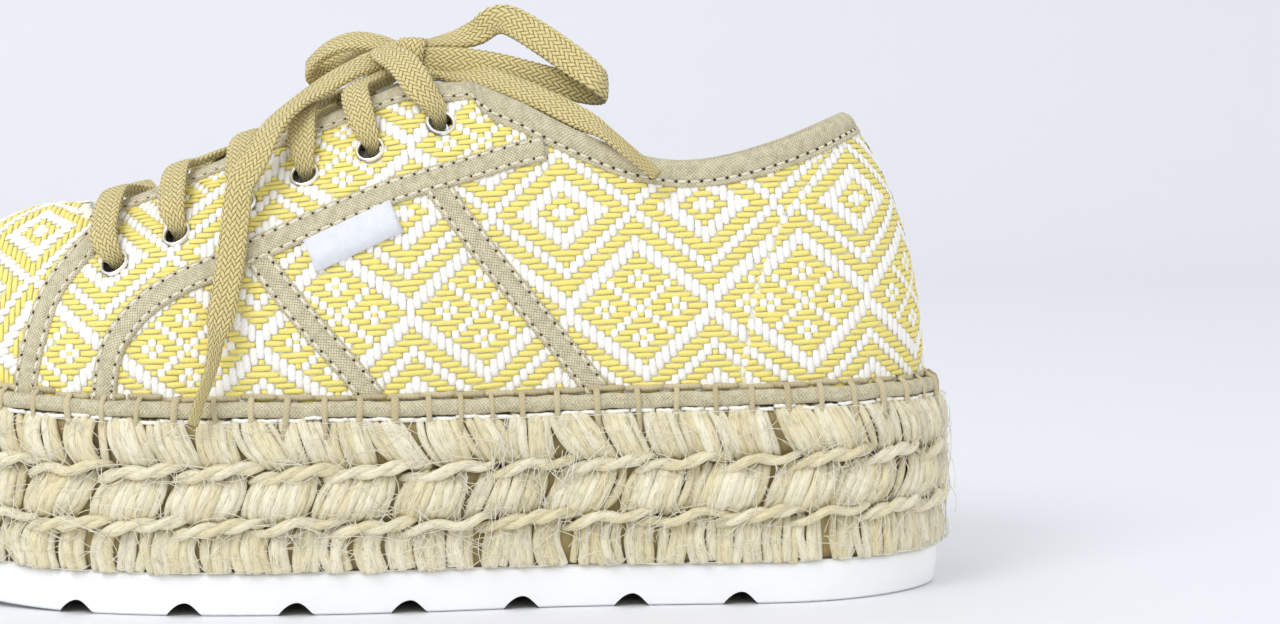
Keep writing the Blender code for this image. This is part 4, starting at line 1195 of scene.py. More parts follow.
@dataclass(frozen=True)
class Lacing:
    """Straight lowest bar, four crossings and the two laces that rise to the knot."""

    eyelets: Eyelets
    ribbon: Ribbon = Ribbon(width=7.0, thick=2.0)
    leans: tuple[float, ...] = (-2.6, -1.6, -1.6, -4.4)       # how far each crossing sways as it rises

    def over_throat(self, last: Last, stations: Sequence[Sequence[float]], count: int) -> tuple[Array, Array]:
        """Path and faces over the closed last through (x, y, lift) stations."""
        path = smooth_path(stations, count)
        points = np.zeros((count, 3))
        faces = np.zeros((count, 3))
        for side in Side:
            here = np.where(path[:, 1] < 0.0, -1, 1) == side.value
            if here.any():
                level = np.maximum(np.abs(path[here, 1]), 0.3)
                place, share = last.locate(side, path[here, 0], level, by_height=False)
                faces[here] = last.normal(place, share)
                points[here] = last.point(place, share)
        return points + faces * path[:, 2:], faces

    def eyelet_y(self, last: Last, side: Side, number: int) -> float:
        """Distance of an eyelet's centre from the middle plane."""
        place, share = last.locate(side, *self.eyelets.centres[number - 1])
        return abs(float(last.point(place, share)[1]))

    def strand(self, last: Last, name: str, stations: Sequence[Sequence[float]], wardrobe: Wardrobe,
               *nodes: str) -> None:
        """One lace over the throat."""
        path, faces = self.over_throat(last, [row[:3] for row in stations], 26)
        share = smooth_path([(*row[:3], row[3] if len(row) > 3 else 1.0) for row in stations], 26)[:, 3]
        Bench.dress(self.ribbon.build(name, path, faces, share, 0.6 + 0.4 * share), wardrobe.lace, "lace", *nodes)

    def build(self, last: Last, wardrobe: Wardrobe) -> None:
        """Every strand over the tongue."""
        x = self.eyelets.centres[0][0]
        near, far = (self.eyelet_y(last, side, 1) for side in Side)
        bar = [(x + 0.2, -near + 0.5, -3.2, 0.5), (x - 0.4, -near + 1.5, 1.3, 0.66), (x - 2.4, -near + 5.2, 3.5, 0.96),
               (x - 3.2, -11.8, 3.8), (x - 2.0, -6.4, 1.6), (x - 0.6, 0.0, -0.9), (x - 2.0, 6.4, 1.6),
               (x - 3.2, 11.8, 3.8), (x - 2.4, far - 5.2, 3.5, 0.96), (x - 0.4, far - 1.5, 1.3, 0.66),
               (x + 0.2, far - 0.5, -3.2, 0.5)]
        self.strand(last, "lace_bar_braid", bar, wardrobe, "lace_bar")
        for number in range(2, 6):
            x = self.eyelets.centres[number - 1][0]
            run = self.eyelets.centres[number][0] - x
            for side in Side:
                near = self.eyelet_y(last, side, number)
                s = side.value
                lean = self.leans[number - 2]
                stations = [(x + 0.1, s * (near - 0.5), -3.2, 0.5), (x, s * (near - 1.5), 1.3, 0.66),
                            (x + 0.4 + 0.5 * lean, s * (near - 5.2), 3.4, 0.96), (x + 1.0 + lean, s * 13.8, 3.9),
                            (x + 2.6 + 0.7 * lean, s * 8.5, 1.7), (x + 0.38 * run, 0.0, -0.8 - 0.9 * s),
                            (x + 0.56 * run, -s * 5.0, -1.4), (x + 0.70 * run, -s * 8.8, -2.1)]
                nodes = (f"lace_crossing_{number}",) if side is Side.LATERAL else ()
                self.strand(last, f"lace_cross_{number}_{side.word}", stations, wardrobe, *nodes)
        x = self.eyelets.centres[5][0]
        for side in Side:
            near = self.eyelet_y(last, side, 6)
            s = side.value
            stations = [(x + 0.2, s * (near - 0.5), -3.2, 0.5), (x - 1.0, s * (near - 1.5), 1.5, 0.70),
                        (x - 4.8, s * (near - 4.2), 4.0, 1.04), (x - 9.4, s * 11.6, 5.2, 1.1), (x - 12.4, s * 7.4, 5.8),
                        (x - 13.4, s * 3.6, 6.2)]
            self.strand(last, f"lace_top_{side.word}_braid", stations, wardrobe, f"lace_top_{side.word}")


# ---------------------------------------------------------------- upper
@dataclass(frozen=True)
class Upper:
    """Hollow wall of the shoe, and the padded parts inside it."""

    columns: int = 260
    rows: int = 26

    def build(self, last: Last, eyelets: Eyelets, wardrobe: Wardrobe) -> None:
        """Wall with its eyelet holes, tongue and insole."""
        self.wall(last, eyelets, wardrobe)
        self.tongue(last, wardrobe)
        self.insole(last, wardrobe)

    def wall(self, last: Last, eyelets: Eyelets, wardrobe: Wardrobe) -> None:
        """Outer ground cloth and white lining."""
        places = np.linspace(0.0, FULL_TURN, self.columns + 1)
        ends = last.top_share(places)
        shares = np.linspace(0.0, 1.0, self.rows)[:, None] * ends[None]
        points = last.point(np.broadcast_to(places, shares.shape), shares)
        wall = Bench.grid("upper_wall", points, close=0.02, solid=False)
        wall.data.materials.append(wardrobe.ground)
        wall.data.materials.append(wardrobe.lining)
        thick = wall.modifiers.new("thickness", "SOLIDIFY")
        thick.thickness = last.wall * MM
        thick.offset = -1.0
        thick.use_even_offset = True
        thick.material_offset = 1
        thick.material_offset_rim = 1
        radius = eyelets.cut - 0.35
        rod = ((0.01, -7.0), (radius, -7.0), (radius, 4.0), (0.01, 4.0))
        cutters = [Bench.grid(f"hole_{i}", eyelets.turned(centre, normal, rod, 20), close=0.05)
                   for i, (_, centre, normal) in enumerate(eyelets.seats(last))]
        Bench.cut(wall, Bench.joined(cutters))
        Bench.dress(wall, wardrobe.ground, "woven_upper", "upper")

    def tongue(self, last: Last, wardrobe: Wardrobe) -> None:
        """Padded tongue under the throat, with a free end above the facings."""
        rows = []
        for place in np.linspace(2.1, 6.0, 26):
            x = float(last.ring(place)[2])
            _, low = last.locate(Side.LATERAL, x, 18.5, by_height=False)
            shares = low + (1.0 - low) * np.linspace(0.0, 1.0, 9)
            lateral = last.skin(np.full(9, place), shares, -4.9)
            medial = last.skin(np.full(9, FULL_TURN - place), shares, -4.9)
            rows.append(np.vstack([lateral[:-1], [(lateral[-1] + medial[-1]) / 2.0], medial[-2::-1]]))
        for along, up, narrow in ((5.0, -0.4, 0.97), (10.0, -0.6, 0.88), (13.0, -0.5, 0.74), (14.0, -0.4, 0.62)):
            rows.append(rows[25] * np.array([1.0, narrow, 1.0]) + np.array([along, 0.0, up]))
        tongue = Bench.grid("tongue_pad", np.array(rows), solid=False)
        thick = tongue.modifiers.new("thickness", "SOLIDIFY")
        thick.thickness = 1.8 * MM
        thick.offset = -1.0
        Bench.dress(tongue, wardrobe.lining, "lining", "tongue")

    def insole(self, last: Last, wardrobe: Wardrobe) -> None:
        """Flat insole on the platform."""
        inset = last.foot_inset + last.wall + 0.6
        levels = [(inset + inward, lambda x, up=up: last.deck_height(x) + up)
                  for inward, up in ((14.0, 0.3), (0.0, 0.3), (0.0, 2.6), (0.9, 3.3), (6.0, 3.4), (14.0, 3.2))]
        rows = last.slab(np.linspace(0.0, FULL_TURN, 161), levels)
        Bench.dress(Bench.grid("insole_pad", rows, close=0.01), wardrobe.lining, "lining", "insole")


@dataclass(frozen=True)
class Trim:
    """Tapes on the wall and the binding of its edge, with their stitching."""

    width: float = 5.9
    thick: float = 0.8
    lift: float = 0.30
    start: float = 3.0
    pitch: float = 3.0
    front: Route = ((-66.2, 87.6), (-70.4, 83.6), (-73.9, 78.6), (-77.2, 73.5), (-79.2, 68.3), (-80.7, 61.8),
                    (-82.2, 53.8), (-82.6, 48.0))
    eyestay: Route = ((-63.6, 47.5), (-62.3, 57.6), (-59.4, 63.8), (-54.0, 69.8), (-46.0, 74.8), (-35.9, 79.0),
                      (-19.0, 86.8), (-0.1, 94.8), (18.4, 100.5), (26.5, 103.0), (31.4, 104.3), (36.0, 105.2))
    fore_slant: Route = ((-29.0, 80.2), (-26.4, 77.0), (-17.7, 66.6), (-8.3, 56.0), (-2.2, 48.6))
    aft_slant: Route = ((10.2, 97.4), (12.6, 94.4), (21.8, 82.2), (34.2, 67.0), (48.6, 49.5))
    tag: Route = ((-17.2, 80.3), (2.2, 89.5))

    def routes(self) -> tuple[tuple[str, Route, float], ...]:
        """Each tape's name, route and how far it lies over the wall."""
        return (("strip_slant_fore", self.fore_slant, self.lift), ("strip_slant_aft", self.aft_slant, self.lift),
                ("strip_front", self.front, self.lift), ("strip_eyestay", self.eyestay, self.lift + 0.28))

    @staticmethod
    def sideways(path: Array) -> Array:
        """Direction across a route in side view, at each of its rows."""
        along = unit(np.gradient(path, axis=0))
        return np.stack([-along[:, 1], along[:, 0]], axis=1)

    def on_skin(self, last: Last, side: Side, route: Route, offsets: Array, lifts: Array, count: int) -> Array:
        """Rows across a route given in side view, laid on the wall.

        Args:
            last: the form.
            side: the side of the shoe.
            route: x and z of the route.
            offsets: distances across it, one for each column.
            lifts: heights over the skin, one for each column or count x columns.
            count: rows along the route.

        Returns:
            count x columns x 3.
        """
        path = smooth_path(route, count, measured=2)
        line = path[:, None] + self.sideways(path)[:, None] * offsets[None, :, None]
        place, share = last.locate(side, line[..., 0], line[..., 1])
        return last.skin(place, share, np.broadcast_to(lifts, place.shape))

    def stitches(self, last: Last, name: str, side: Side, route: Route, offset: float, lift: float,
                 wardrobe: Wardrobe, slot: str) -> None:
        """A run of stitches along a tape, sunk between needle holes drawn as dark tubes of painted shade."""
        path = smooth_path(route, 400, measured=2)
        count = int(path_length(path) / self.pitch)
        line = path + self.sideways(path) * offset
        steps = np.linspace(0.0, 1.0, len(path))
        tint = np.random.default_rng(3).random(count)
        # the hole tubes are painted shade at the needle holes
        for word, parts, rise, radius, finish in (
                ("stitches", np.linspace(0.14, 0.86, 5), np.array([-0.3, 0.08, 0.2, 0.08, -0.3]), 0.36,
                 wardrobe.stitch),
                ("holes", np.array([-0.07, 0.0, 0.07]), -0.1, 0.46, wardrobe.needle)):
            at = (np.arange(count)[:, None] + parts) / count
            x, z = (np.interp(at, steps, line[:, column]) for column in range(2))
            place, share = last.locate(side, x, z)
            piece = Bench.tubes(f"{name}_{word}", last.skin(place, share, lift + rise), radius, tint, 6)
            Bench.dress(piece, finish, slot)

    def build(self, last: Last, wardrobe: Wardrobe) -> None:
        """Every tape on both sides, the tag and the binding."""
        half = self.width / 2.0
        across = np.array([-1.0, -0.99, -0.94, -0.80, -0.72, -0.66, -0.58, -0.3, 0.0, 0.3, 0.58, 0.66, 0.72, 0.80,
                           0.94, 0.99, 1.0, 0.5, -0.5, -1.0]) * half
        top = np.array([0.0, 0.45, 0.92, 1.0, 0.86, 0.66, 0.96, 1.05, 1.1, 1.05, 0.96, 0.66, 0.86, 1.0, 0.92, 0.45,
                        0.0, -0.3, -0.3, 0.0])
        for side in Side:
            for stem, route, lift in self.routes():
                count = int(path_length(np.array(route)) / 1.1)
                points = self.on_skin(last, side, route, across, lift + top * self.thick, count)
                name = f"{stem}_{side.word}"
                Bench.dress(Bench.grid(f"{name}_tape", Bench.capped(points), close=0.004), wardrobe.tape, "tape",
                            name)
                for word, offset in (("upper", 0.70 * half), ("lower", -0.70 * half)):
                    self.stitches(last, f"{name}_{word}", side, route, offset, lift + 0.72 * self.thick, wardrobe,
                                  "tape")
        flat = np.array([-1.0, -1.0, -0.98, 0.0, 0.98, 1.0, 1.0, 0.0, -1.0]) * 3.8
        lifts = np.array([0.2, 1.2, 1.5, 1.7, 1.85, 1.75, 0.2, 0.2, 0.2])
        points = self.on_skin(last, Side.LATERAL, self.tag, flat, lifts, 20)
        Bench.dress(Bench.grid("side_tag_cloth", Bench.capped(points), close=0.004), wardrobe.tag, "tag", "side_tag")
        self.edge(last, wardrobe)

    def edge(self, last: Last, wardrobe: Wardrobe) -> None:
        """Binding folded over the edge of facings and collar."""
        places = np.concatenate([np.linspace(self.start, 3.6, 14)[:-1], np.linspace(3.6, 7.6, 120)[:-1],
                                 np.linspace(7.6, 12.0, 90)])
        places = np.concatenate([places, FULL_TURN - places[-2::-1]])
        shares, beyond, per_mm = last.top_edge(places)
        normal = last.normal(places, shares)
        wall = -last.wall
        down = np.array([5.3, 5.35, 5.2, 4.9, 4.5, 4.25, 4.0, 3.75, 3.4, 2.0, 0.8, 0.2])
        lift = np.array([0.25, 0.7, 1.0, 1.1, 1.02, 0.8, 0.6, 0.85, 1.15, 1.45, 1.4, 1.1])
        rows = [last.skin(places, shares - per_mm * d, h) for d, h in zip(down, lift)]
        edge = last.point(places, shares)
        for out, h in ((1.0, 0.5), (1.25, -1.0), (1.0, wall - 0.5)):
            rows.append(edge + beyond * out + normal * h)
        for d, h in ((0.2, wall - 1.1), (1.5, wall - 1.25), (3.4, wall - 1.1), (4.4, wall - 0.9), (4.4, wall - 0.2),
                     (2.0, wall + 0.4), (2.0, -0.4), (5.3, 0.25)):
            rows.append(last.skin(places, shares - per_mm * d, 0.0) + normal * h)
        points = Bench.capped(np.array(rows).transpose(1, 0, 2))
        Bench.dress(Bench.grid("binding_fold", points, close=0.004), wardrobe.tape, "tape", "binding")
        line = last.skin(places, shares - per_mm * 4.0, 0.75)
        lengths = travelled(line[None])[0]
        count = int(lengths[-1] / self.pitch)
        # the hole tubes are painted shade at the needle holes
        for name, shares_of, h, size, finish in (
                ("binding_stitches", np.linspace(0.14, 0.86, 5), (-0.25, 0.1, 0.22, 0.1, -0.25), 0.34,
                 wardrobe.stitch),
                ("binding_holes", np.array([-0.08, 0.0, 0.08]), (-0.02,) * 3, 0.42, wardrobe.needle)):
            at = np.clip((np.arange(count)[:, None] + shares_of) / count, 0.0, 1.0) * lengths[-1]
            place = np.interp(at, lengths, places)
            share = np.interp(at, lengths, shares - per_mm * 4.0)
            lines = last.skin(place, share, 0.72 + np.array(h))
            Bench.dress(Bench.tubes(name, lines, size, np.random.default_rng(4).random(count), 6), finish, "tape")


# ---------------------------------------------------------------- woven cloth
CLOTH_V, ROOM = 6, 7            # columns of a chart's rows, after a point and its normal


class QuarterChart:
    """Cloth coordinates on one side: u follows level curves from x = 0, v climbs the wall."""

    rounds = 16                 # halvings that find a level

    def __init__(self, last: Last, side: Side) -> None:
        """Measure one side into a table at even steps of u and height.

        Args:
            last: the form.
            side: the side of the shoe.
        """
        self.side = side
        places = np.linspace(1.4, 12.0, 240)
        ring = side.place(places)
        shares = np.linspace(0.0, 1.0, 121)
        net = last.point(ring[:, None], shares[None])
        self.levels = np.arange(43.0, 127.0, 1.0)
        share = np.array([np.interp(self.levels, column[:, 2], shares) for column in net])
        place = np.broadcast_to(ring[:, None], share.shape)
        points = last.point(place, share)
        normals = last.normal(place, share)
        steps = np.linalg.norm(np.diff(points[..., :2], axis=0), axis=2)
        u = np.concatenate([np.zeros((1, share.shape[1])), np.cumsum(steps, axis=0)])
        for k in range(u.shape[1]):
            u[:, k] -= np.interp(0.0, points[:, k, 0], u[:, k])
        slope = 1.0 / np.sqrt(np.clip(1.0 - normals[..., 2] ** 2, 0.03, 1.0))
        climb = np.cumsum((slope[:, 1:] + slope[:, :-1]) / 2.0, axis=1)
        v = self.levels[0] + np.concatenate([np.zeros((len(ring), 1)), climb], axis=1)
        ends, _, per_mm = last.top_edge(ring)
        room = (ends[:, None] - share) / per_mm[:, None]
        self.first = -82.0
        self.u = np.arange(self.first, 152.0, 1.0)
        table = np.concatenate([points, normals, v[..., None], room[..., None]], axis=2)
        self.table = np.empty((len(self.u), len(self.levels), table.shape[2]))
        for k in range(len(self.levels)):
            for column in range(table.shape[2]):
                self.table[:, k, column] = np.interp(self.u, u[:, k], table[:, k, column])
        self.reach = float(u[-1].max())

    def look(self, u: Array, level: Array) -> Array:
        """Table row at any u and level."""
        x = np.clip(u - self.first, 0.0, len(self.u) - 1.001)
        y = np.clip(level - self.levels[0], 0.0, len(self.levels) - 1.001)
        return blended(self.table, x, y)

    def find(self, u: Array, v: Array) -> Array:
        """Table rows (point, normal, v, room) at cloth coordinates."""
        low, high = (np.full(np.shape(u), self.levels[end]) for end in (0, -1))
        return self.look(u, halved(low, high, self.rounds, lambda middle: self.look(u, middle)[..., CLOTH_V] < v))


class VampChart:
    """Cloth coordinates on the vamp: u runs outward from its ridge, v towards the heel.

    Ahead of a pivot on the ridge they are polar, so that the cloth wraps round the toe; behind it they are square.
    """

    pivot = -92.0
    side = Side.LATERAL

    def __init__(self, last: Last) -> None:
        """Measure each half into a table at even steps of turn and arc.

        Args:
            last: the form.
        """
        shares = np.linspace(1.0, 0.0, 101)
        ring = np.linspace(0.0, 7.0, 500)
        self.turns = np.radians(np.linspace(0.0, 90.0, 46))
        self.across = np.arange(self.pivot + 1.0, -58.0, 1.0)
        self.arcs = np.arange(0.0, 100.0, 1.0)
        toe, top = last.point(0.0, shares), last.ring(np.linspace(0.0, 7.0, 50))
        middle_x, middle_y = np.append(toe[::-1, 0], top[1:, 2]), np.append(toe[::-1, 1], top[1:, 3])
        tables = []
        for side in Side:
            net = last.point(side.place(ring)[:, None], shares[None])
            off_middle = np.abs(net[..., 1] - np.interp(net[..., 0], middle_x, middle_y))
            turn = np.arctan2(off_middle, self.pivot - net[..., 0])
            found = [np.concatenate([np.interp(self.turns, turn[:, k], ring),
                                     np.interp(self.across, net[:, k, 0], ring)]) for k in range(len(shares))]
            place = side.place(np.array(found).T)
            points = last.point(place, shares[None])
            normals = last.normal(np.clip(place, 0.002, FULL_TURN - 0.002), np.clip(shares[None], 0.002, 0.996))
            arc = travelled(points)
            rows = np.concatenate([points, normals], axis=2)
            table = np.empty((len(points), len(self.arcs), 8))
            for station in range(len(points)):
                for column in range(6):
                    table[station, :, column] = np.interp(self.arcs, arc[station], rows[station, :, column])
                table[station, :, ROOM] = arc[station, -1] - self.arcs
            tables.append(table)
        self.tables = np.array(tables)
        ridge = self.tables[0, len(self.turns) - 1:, 0, :3]
        self.behind = travelled(ridge[None])[0]
        self.reach = float(self.behind[-1])

    def find(self, u: Array, v: Array) -> Array:
        """Table rows (point, normal, v, room) at cloth coordinates."""
        ahead = v < 0.0
        polar = np.arctan2(np.abs(u), np.maximum(-v, 1e-6)) / self.turns[1]
        square = len(self.turns) - 1 + np.interp(v, self.behind, np.arange(len(self.behind)))
        station = np.clip(np.where(ahead, polar, square), 0.0, self.tables.shape[1] - 1.001)
        arc = np.clip(np.where(ahead, np.hypot(u, v), np.abs(u)), 0.0, len(self.arcs) - 1.001)
        half = (u < 0.0).astype(int)
        rows = blended(self.tables, station, arc, (half,))
        rows[..., CLOTH_V] = v
        return rows

    def nearest(self, target: Array) -> Array:
        """Cloth coordinates of a point of the lateral half."""
        far = np.linalg.norm(self.tables[0, ..., :3] - target, axis=2)
        station, arc = np.unravel_index(int(np.argmin(far)), far.shape)
        if station < len(self.turns):
            return np.array([math.sin(self.turns[station]), -math.cos(self.turns[station])]) * self.arcs[arc]
        return np.array([self.arcs[arc], self.behind[station - len(self.turns) + 1]])


class Panel(Enum):
    """Cut pieces of the quarter's cloth; each takes up the pattern where it was cut."""

    FRONT = (-9.0, -4.1)
    TOE_SIDE = (-5.2, -3.5)
    MIDDLE = (-4.1, 1.8)
    REAR = (0.0, 0.0)
    COUNTER = (5.6, 0.1)
    FACING = (-0.9, -4.6)

    @property
    def shift(self) -> Array:
        """How far the pattern lies from the rear panel's, in cloth coordinates."""
        return np.array(self.value)


@dataclass(frozen=True)
class WovenCloth:
    """Dobby weave of white warp floats and yellow weft floats, drafted as nested diamonds."""

    warp: float = 1.64          # distance between columns
    pick: float = 1.37          # distance between picks
    warp_width: float = 2.02
    weft_width: float = 1.38
    rise: float = 2.7           # degrees that the picks climb towards the heel
    lean: float = 5.3           # degrees that the columns lean towards the toe
    centre: tuple[float, float] = (40.23, 90.45)
    vamp_centre: tuple[float, float] = (-85.5, 85.2)
    vamp_turn: float = 4.0      # degrees that the vamp's cloth is turned
    foot_room: float = 3.2      # height over the platform where the floats begin
    counter: Route = ((109.5, 105.0), (104.8, 105.0), (101.8, 102.4), (96.2, 94.8), (93.5, 92.1), (91.0, 88.0),
                      (87.9, 79.7), (85.2, 71.4), (83.1, 60.6), (82.2, 52.0))

    def yellow(self, column: Array, row: Array) -> Array:
        """Whether the yellow weft is on top."""
        i = np.abs((column + 10) % 20 - 10)
        j = np.abs((row + 17) % 34 - 17)
        d = i + j
        e = np.minimum(np.abs(i - 10) + np.abs(j - 12), np.abs(i - 5) + np.abs(j - 17))
        inner = np.isin(d, (2, 3, 7, 8, 9))
        return inner | ((d > 10) & np.isin(e, (0, 2, 3, 4, 8, 9, 10)))

    def axes(self, rise: float, lean: float) -> tuple[Array, Array]:
        """Directions of picks and columns in cloth coordinates, from their slopes in degrees."""
        a, b = math.radians(rise), math.radians(lean)
        return np.array([math.cos(a), math.sin(a)]), np.array([-math.sin(b), math.cos(b)])

    def front_line(self, trim: Trim, z: Array, end: float) -> Array:
        """x of the front tape at a height; `end` is its x at the throat."""
        line = np.array(trim.front)[::-1]
        return np.interp(z, np.append(line[:, 1], 92.0), np.append(line[:, 0], end))

    def seat(self, last: Last, side: Side, centre: tuple[float, float]) -> Array:
        """Point of the skin that lies at x and z on one side."""
        place, share = last.locate(side, np.array([centre[0]]), np.array([centre[1]]))
        return last.point(place, share)[0]

    def runs(self, mask: Array, colour: Array) -> list[tuple[int, int, int]]:
        """(line, first, count) of every run of cells along the last axis."""
        found = []
        for line, row in enumerate(mask & colour):
            edges = np.flatnonzero(np.diff(np.concatenate([[0], row.astype(int), [0]])))
            found += [(line, int(a), int(b - a)) for a, b in zip(edges[::2], edges[1::2])]
        return found

    def floats(self, name: str, chart: QuarterChart, middle: Array, along: Array, across: Array, length: Array,
               width: float, thick: float, material: bpy.types.Material) -> None:
        """Floats as low oval threads that dive into the cloth at both ends."""
        rng = np.random.default_rng(len(name))
        corners = 6
        stations = np.array([-0.96, -0.78, -0.35, 0.0, 0.35, 0.78, 0.96])
        slim = np.array([0.55, 0.86, 1.0, 1.0, 1.0, 0.86, 0.55])
        arch = np.array([-0.22, 0.06, 0.12, 0.13, 0.12, 0.06, -0.22])
        angle = np.arange(corners) * 2.0 * math.pi / corners + math.pi / 6.0
        middle = middle + rng.normal(0.0, 0.05, middle.shape)
        swing = rng.normal(0.0, 0.02, len(middle))
        line = middle[:, None] + along * (stations[None] * length[:, None] / 2.0)[..., None] \
            + across * (stations[None] * (length * swing)[:, None] / 2.0)[..., None]
        wide = width * (1.0 + rng.normal(0.0, 0.05, len(middle)))
        offset = np.cos(angle)[None, None] * slim[None, :, None] * wide[:, None, None] / 2.0
        spot = line[:, :, None] + across * offset[..., None]
        lift = 0.22 + arch[None, :, None] + np.sin(angle)[None, None] * slim[None, :, None] * thick * 0.36 \
            + rng.normal(0.0, 0.03, len(middle))[:, None, None]
        rows = chart.find(spot[..., 0], spot[..., 1])
        rings = rows[..., :3] + rows[..., 3:6] * lift[..., None]
        if chart.side is Side.MEDIAL:
            rings = rings[:, :, ::-1]
        girth = np.arange(corners + 1) / corners * math.pi * width
        run = (stations + 1.0)[None] * length[:, None] / 2.0 + rng.random(len(middle))[:, None]
        uv = np.stack(np.broadcast_arrays(girth[None, None], run[:, :, None]), axis=-1)
        Bench.dress(Bench.swarm(name, rings, uv, rng.random(len(middle))), material, "woven_upper")

    def counter_line(self, z: Array) -> Array:
        """x of the seam that starts the counter, at a height."""
        line = np.array(self.counter)[:0:-1]
        return np.interp(z, line[:, 1], line[:, 0])

    def panel_at(self, trim: Trim, x: Array, z: Array) -> dict[Panel, Array]:
        """Which cells belong to each cut piece."""
        stay = np.array(trim.eyestay)
        above = (x < stay[0, 0]) | (z > np.interp(x, stay[:, 0], stay[:, 1])) & (x < 34.0)
        fore = x < np.interp(z, *np.array(trim.fore_slant)[::-1].T[::-1])
        aft = x < np.interp(z, *np.array(trim.aft_slant)[::-1].T[::-1])
        counter = x > self.counter_line(z)
        return {Panel.FRONT: above & (x < -34.0), Panel.FACING: above & (x >= -34.0), Panel.TOE_SIDE: ~above & fore,
                Panel.MIDDLE: ~above & ~fore & aft, Panel.REAR: ~above & ~aft & ~counter,
                Panel.COUNTER: ~above & ~aft & counter}

    def lay(self, name: str, chart: QuarterChart | VampChart, origins: Sequence[tuple[Array, Array]], e_u: Array,
            e_v: Array, columns: Array, picks: Array, wardrobe: Wardrobe) -> None:
        """Both sets of floats for masks of cells, each mask with its own origin."""
        colour = self.yellow(columns[None], picks[:, None])
        wefts, warps = [], []
        for start, mask in origins:
            weft = np.array(self.runs(mask, colour), dtype=float).reshape(-1, 3)
            middle = start + (columns[0] + weft[:, 1] + weft[:, 2] / 2.0 - 0.5)[:, None] * self.warp * e_u \
                + (picks[0] + weft[:, 0])[:, None] * self.pick * e_v
            wefts.append(np.column_stack([middle, weft[:, 2] * self.warp - 0.12]))
            warp = np.array(self.runs(mask.T, ~colour.T), dtype=float).reshape(-1, 3)
            middle = start + (columns[0] + warp[:, 0])[:, None] * self.warp * e_u \
                + (picks[0] + warp[:, 1] + warp[:, 2] / 2.0 - 0.5)[:, None] * self.pick * e_v
            warps.append(np.column_stack([middle, np.maximum(warp[:, 2] * self.pick + 0.3, 2.3)]))
        weft, warp = np.concatenate(wefts), np.concatenate(warps)
        self.floats(f"weft_{name}", chart, weft[:, :2], e_u, e_v, weft[:, 2], self.weft_width, 0.62, wardrobe.yellow)
        self.floats(f"warp_{name}", chart, warp[:, :2], e_v, e_u, warp[:, 2], self.warp_width, 0.8, wardrobe.white)

    def vamp(self, last: Last, trim: Trim, wardrobe: Wardrobe) -> None:
        """Cloth ahead of the front tapes and the throat; its warp runs fore and aft."""
        chart = VampChart(last)
        start = chart.nearest(self.seat(last, Side.LATERAL, self.vamp_centre))
        e_u, e_v = self.axes(self.vamp_turn, self.vamp_turn)
        columns, picks = np.arange(-72, 50), np.arange(-72, 40)
        spot = start + columns[None, :, None] * self.warp * e_u + picks[:, None, None] * self.pick * e_v
        rows = chart.find(spot[..., 0], spot[..., 1])
        x, y, z, room = rows[..., 0], np.abs(rows[..., 1]), rows[..., 2], rows[..., ROOM]
        mask = (x < self.front_line(trim, z, -62.0) - 0.4) & (z > last.deck_height(x) + self.foot_room)
        mask &= (room > 1.0) & (spot[..., 1] < chart.reach - 1.0)
        mask &= (y > last.throat_half(x + 2.0) + 1.0) | (x < last.throat_front - 1.0)
        self.lay("vamp", chart, [(start, mask)], e_u, e_v, columns, picks, wardrobe)

    def counter_seam(self, last: Last, side: Side, wardrobe: Wardrobe) -> None:
        """Row of small stitches down the seam of the counter."""
        route = smooth_path(np.array(self.counter)[1:], 200, measured=2)
        count = int(path_length(route) / 2.2)
        at = (np.arange(count)[:, None] + np.linspace(0.2, 0.8, 5)) / count
        steps = np.linspace(0.0, 1.0, 200)
        x, z = np.interp(at, steps, route[:, 0]), np.interp(at, steps, route[:, 1])
        place, share = last.locate(side, x, z)
        lines = last.skin(place, share, np.array([0.0, 0.28, 0.36, 0.28, 0.0]))
        tint = np.random.default_rng(8).random(count)
        Bench.dress(Bench.tubes(f"counter_seam_{side.word}", lines, 0.15, tint, 6), wardrobe.white, "woven_upper")

    def quarter(self, last: Last, side: Side, trim: Trim, eyelets: Eyelets, wardrobe: Wardrobe) -> None:
        """Both sets of floats on one side, behind the front tape."""
        chart = QuarterChart(last, side)
        e_u, e_v = self.axes(self.rise, self.lean)
        target = self.seat(last, side, self.centre)
        u = np.linspace(20.0, 60.0, 400)
        level = np.full(u.shape, target[2])
        near = chart.look(u, level)
        at = int(np.argmin(np.linalg.norm(near[:, :3] - target, axis=1)))
        start = np.array([u[at], near[at, CLOTH_V]])
        columns, picks = np.arange(-78, 74), np.arange(-50, 34)
        origins = []
        for panel in Panel:
            origin = start + panel.shift
            spot = origin + columns[None, :, None] * self.warp * e_u + picks[:, None, None] * self.pick * e_v
            rows = chart.find(spot[..., 0], spot[..., 1])
            x, z, room = rows[..., 0], rows[..., 2], rows[..., ROOM]
            mask = (x > self.front_line(trim, z, -68.0) + 1.6) & (room > 4.4)
            mask &= z > last.deck_height(x) + self.foot_room
            mask &= self.panel_at(trim, x, z)[panel] & (spot[..., 0] < chart.reach + 0.5)
            for ex, ez in eyelets.centres:
                mask &= np.hypot(x - ex, z - ez) > 3.0
            for _, route, _ in trim.routes():
                path = smooth_path(route, 120, measured=2)
                gap = np.min(np.hypot(x[..., None] - path[:, 0], z[..., None] - path[:, 1]), axis=-1)
                mask &= gap > trim.width / 2.0 - 1.6
            origins.append((origin, mask))
        self.lay(side.word, chart, origins, e_u, e_v, columns, picks, wardrobe)
        self.counter_seam(last, side, wardrobe)

    def build(self, last: Last, trim: Trim, eyelets: Eyelets, wardrobe: Wardrobe) -> None:
        """Both quarters and the vamp."""
        for side in Side:
            self.quarter(last, side, trim, eyelets, wardrobe)
        self.vamp(last, trim, wardrobe)


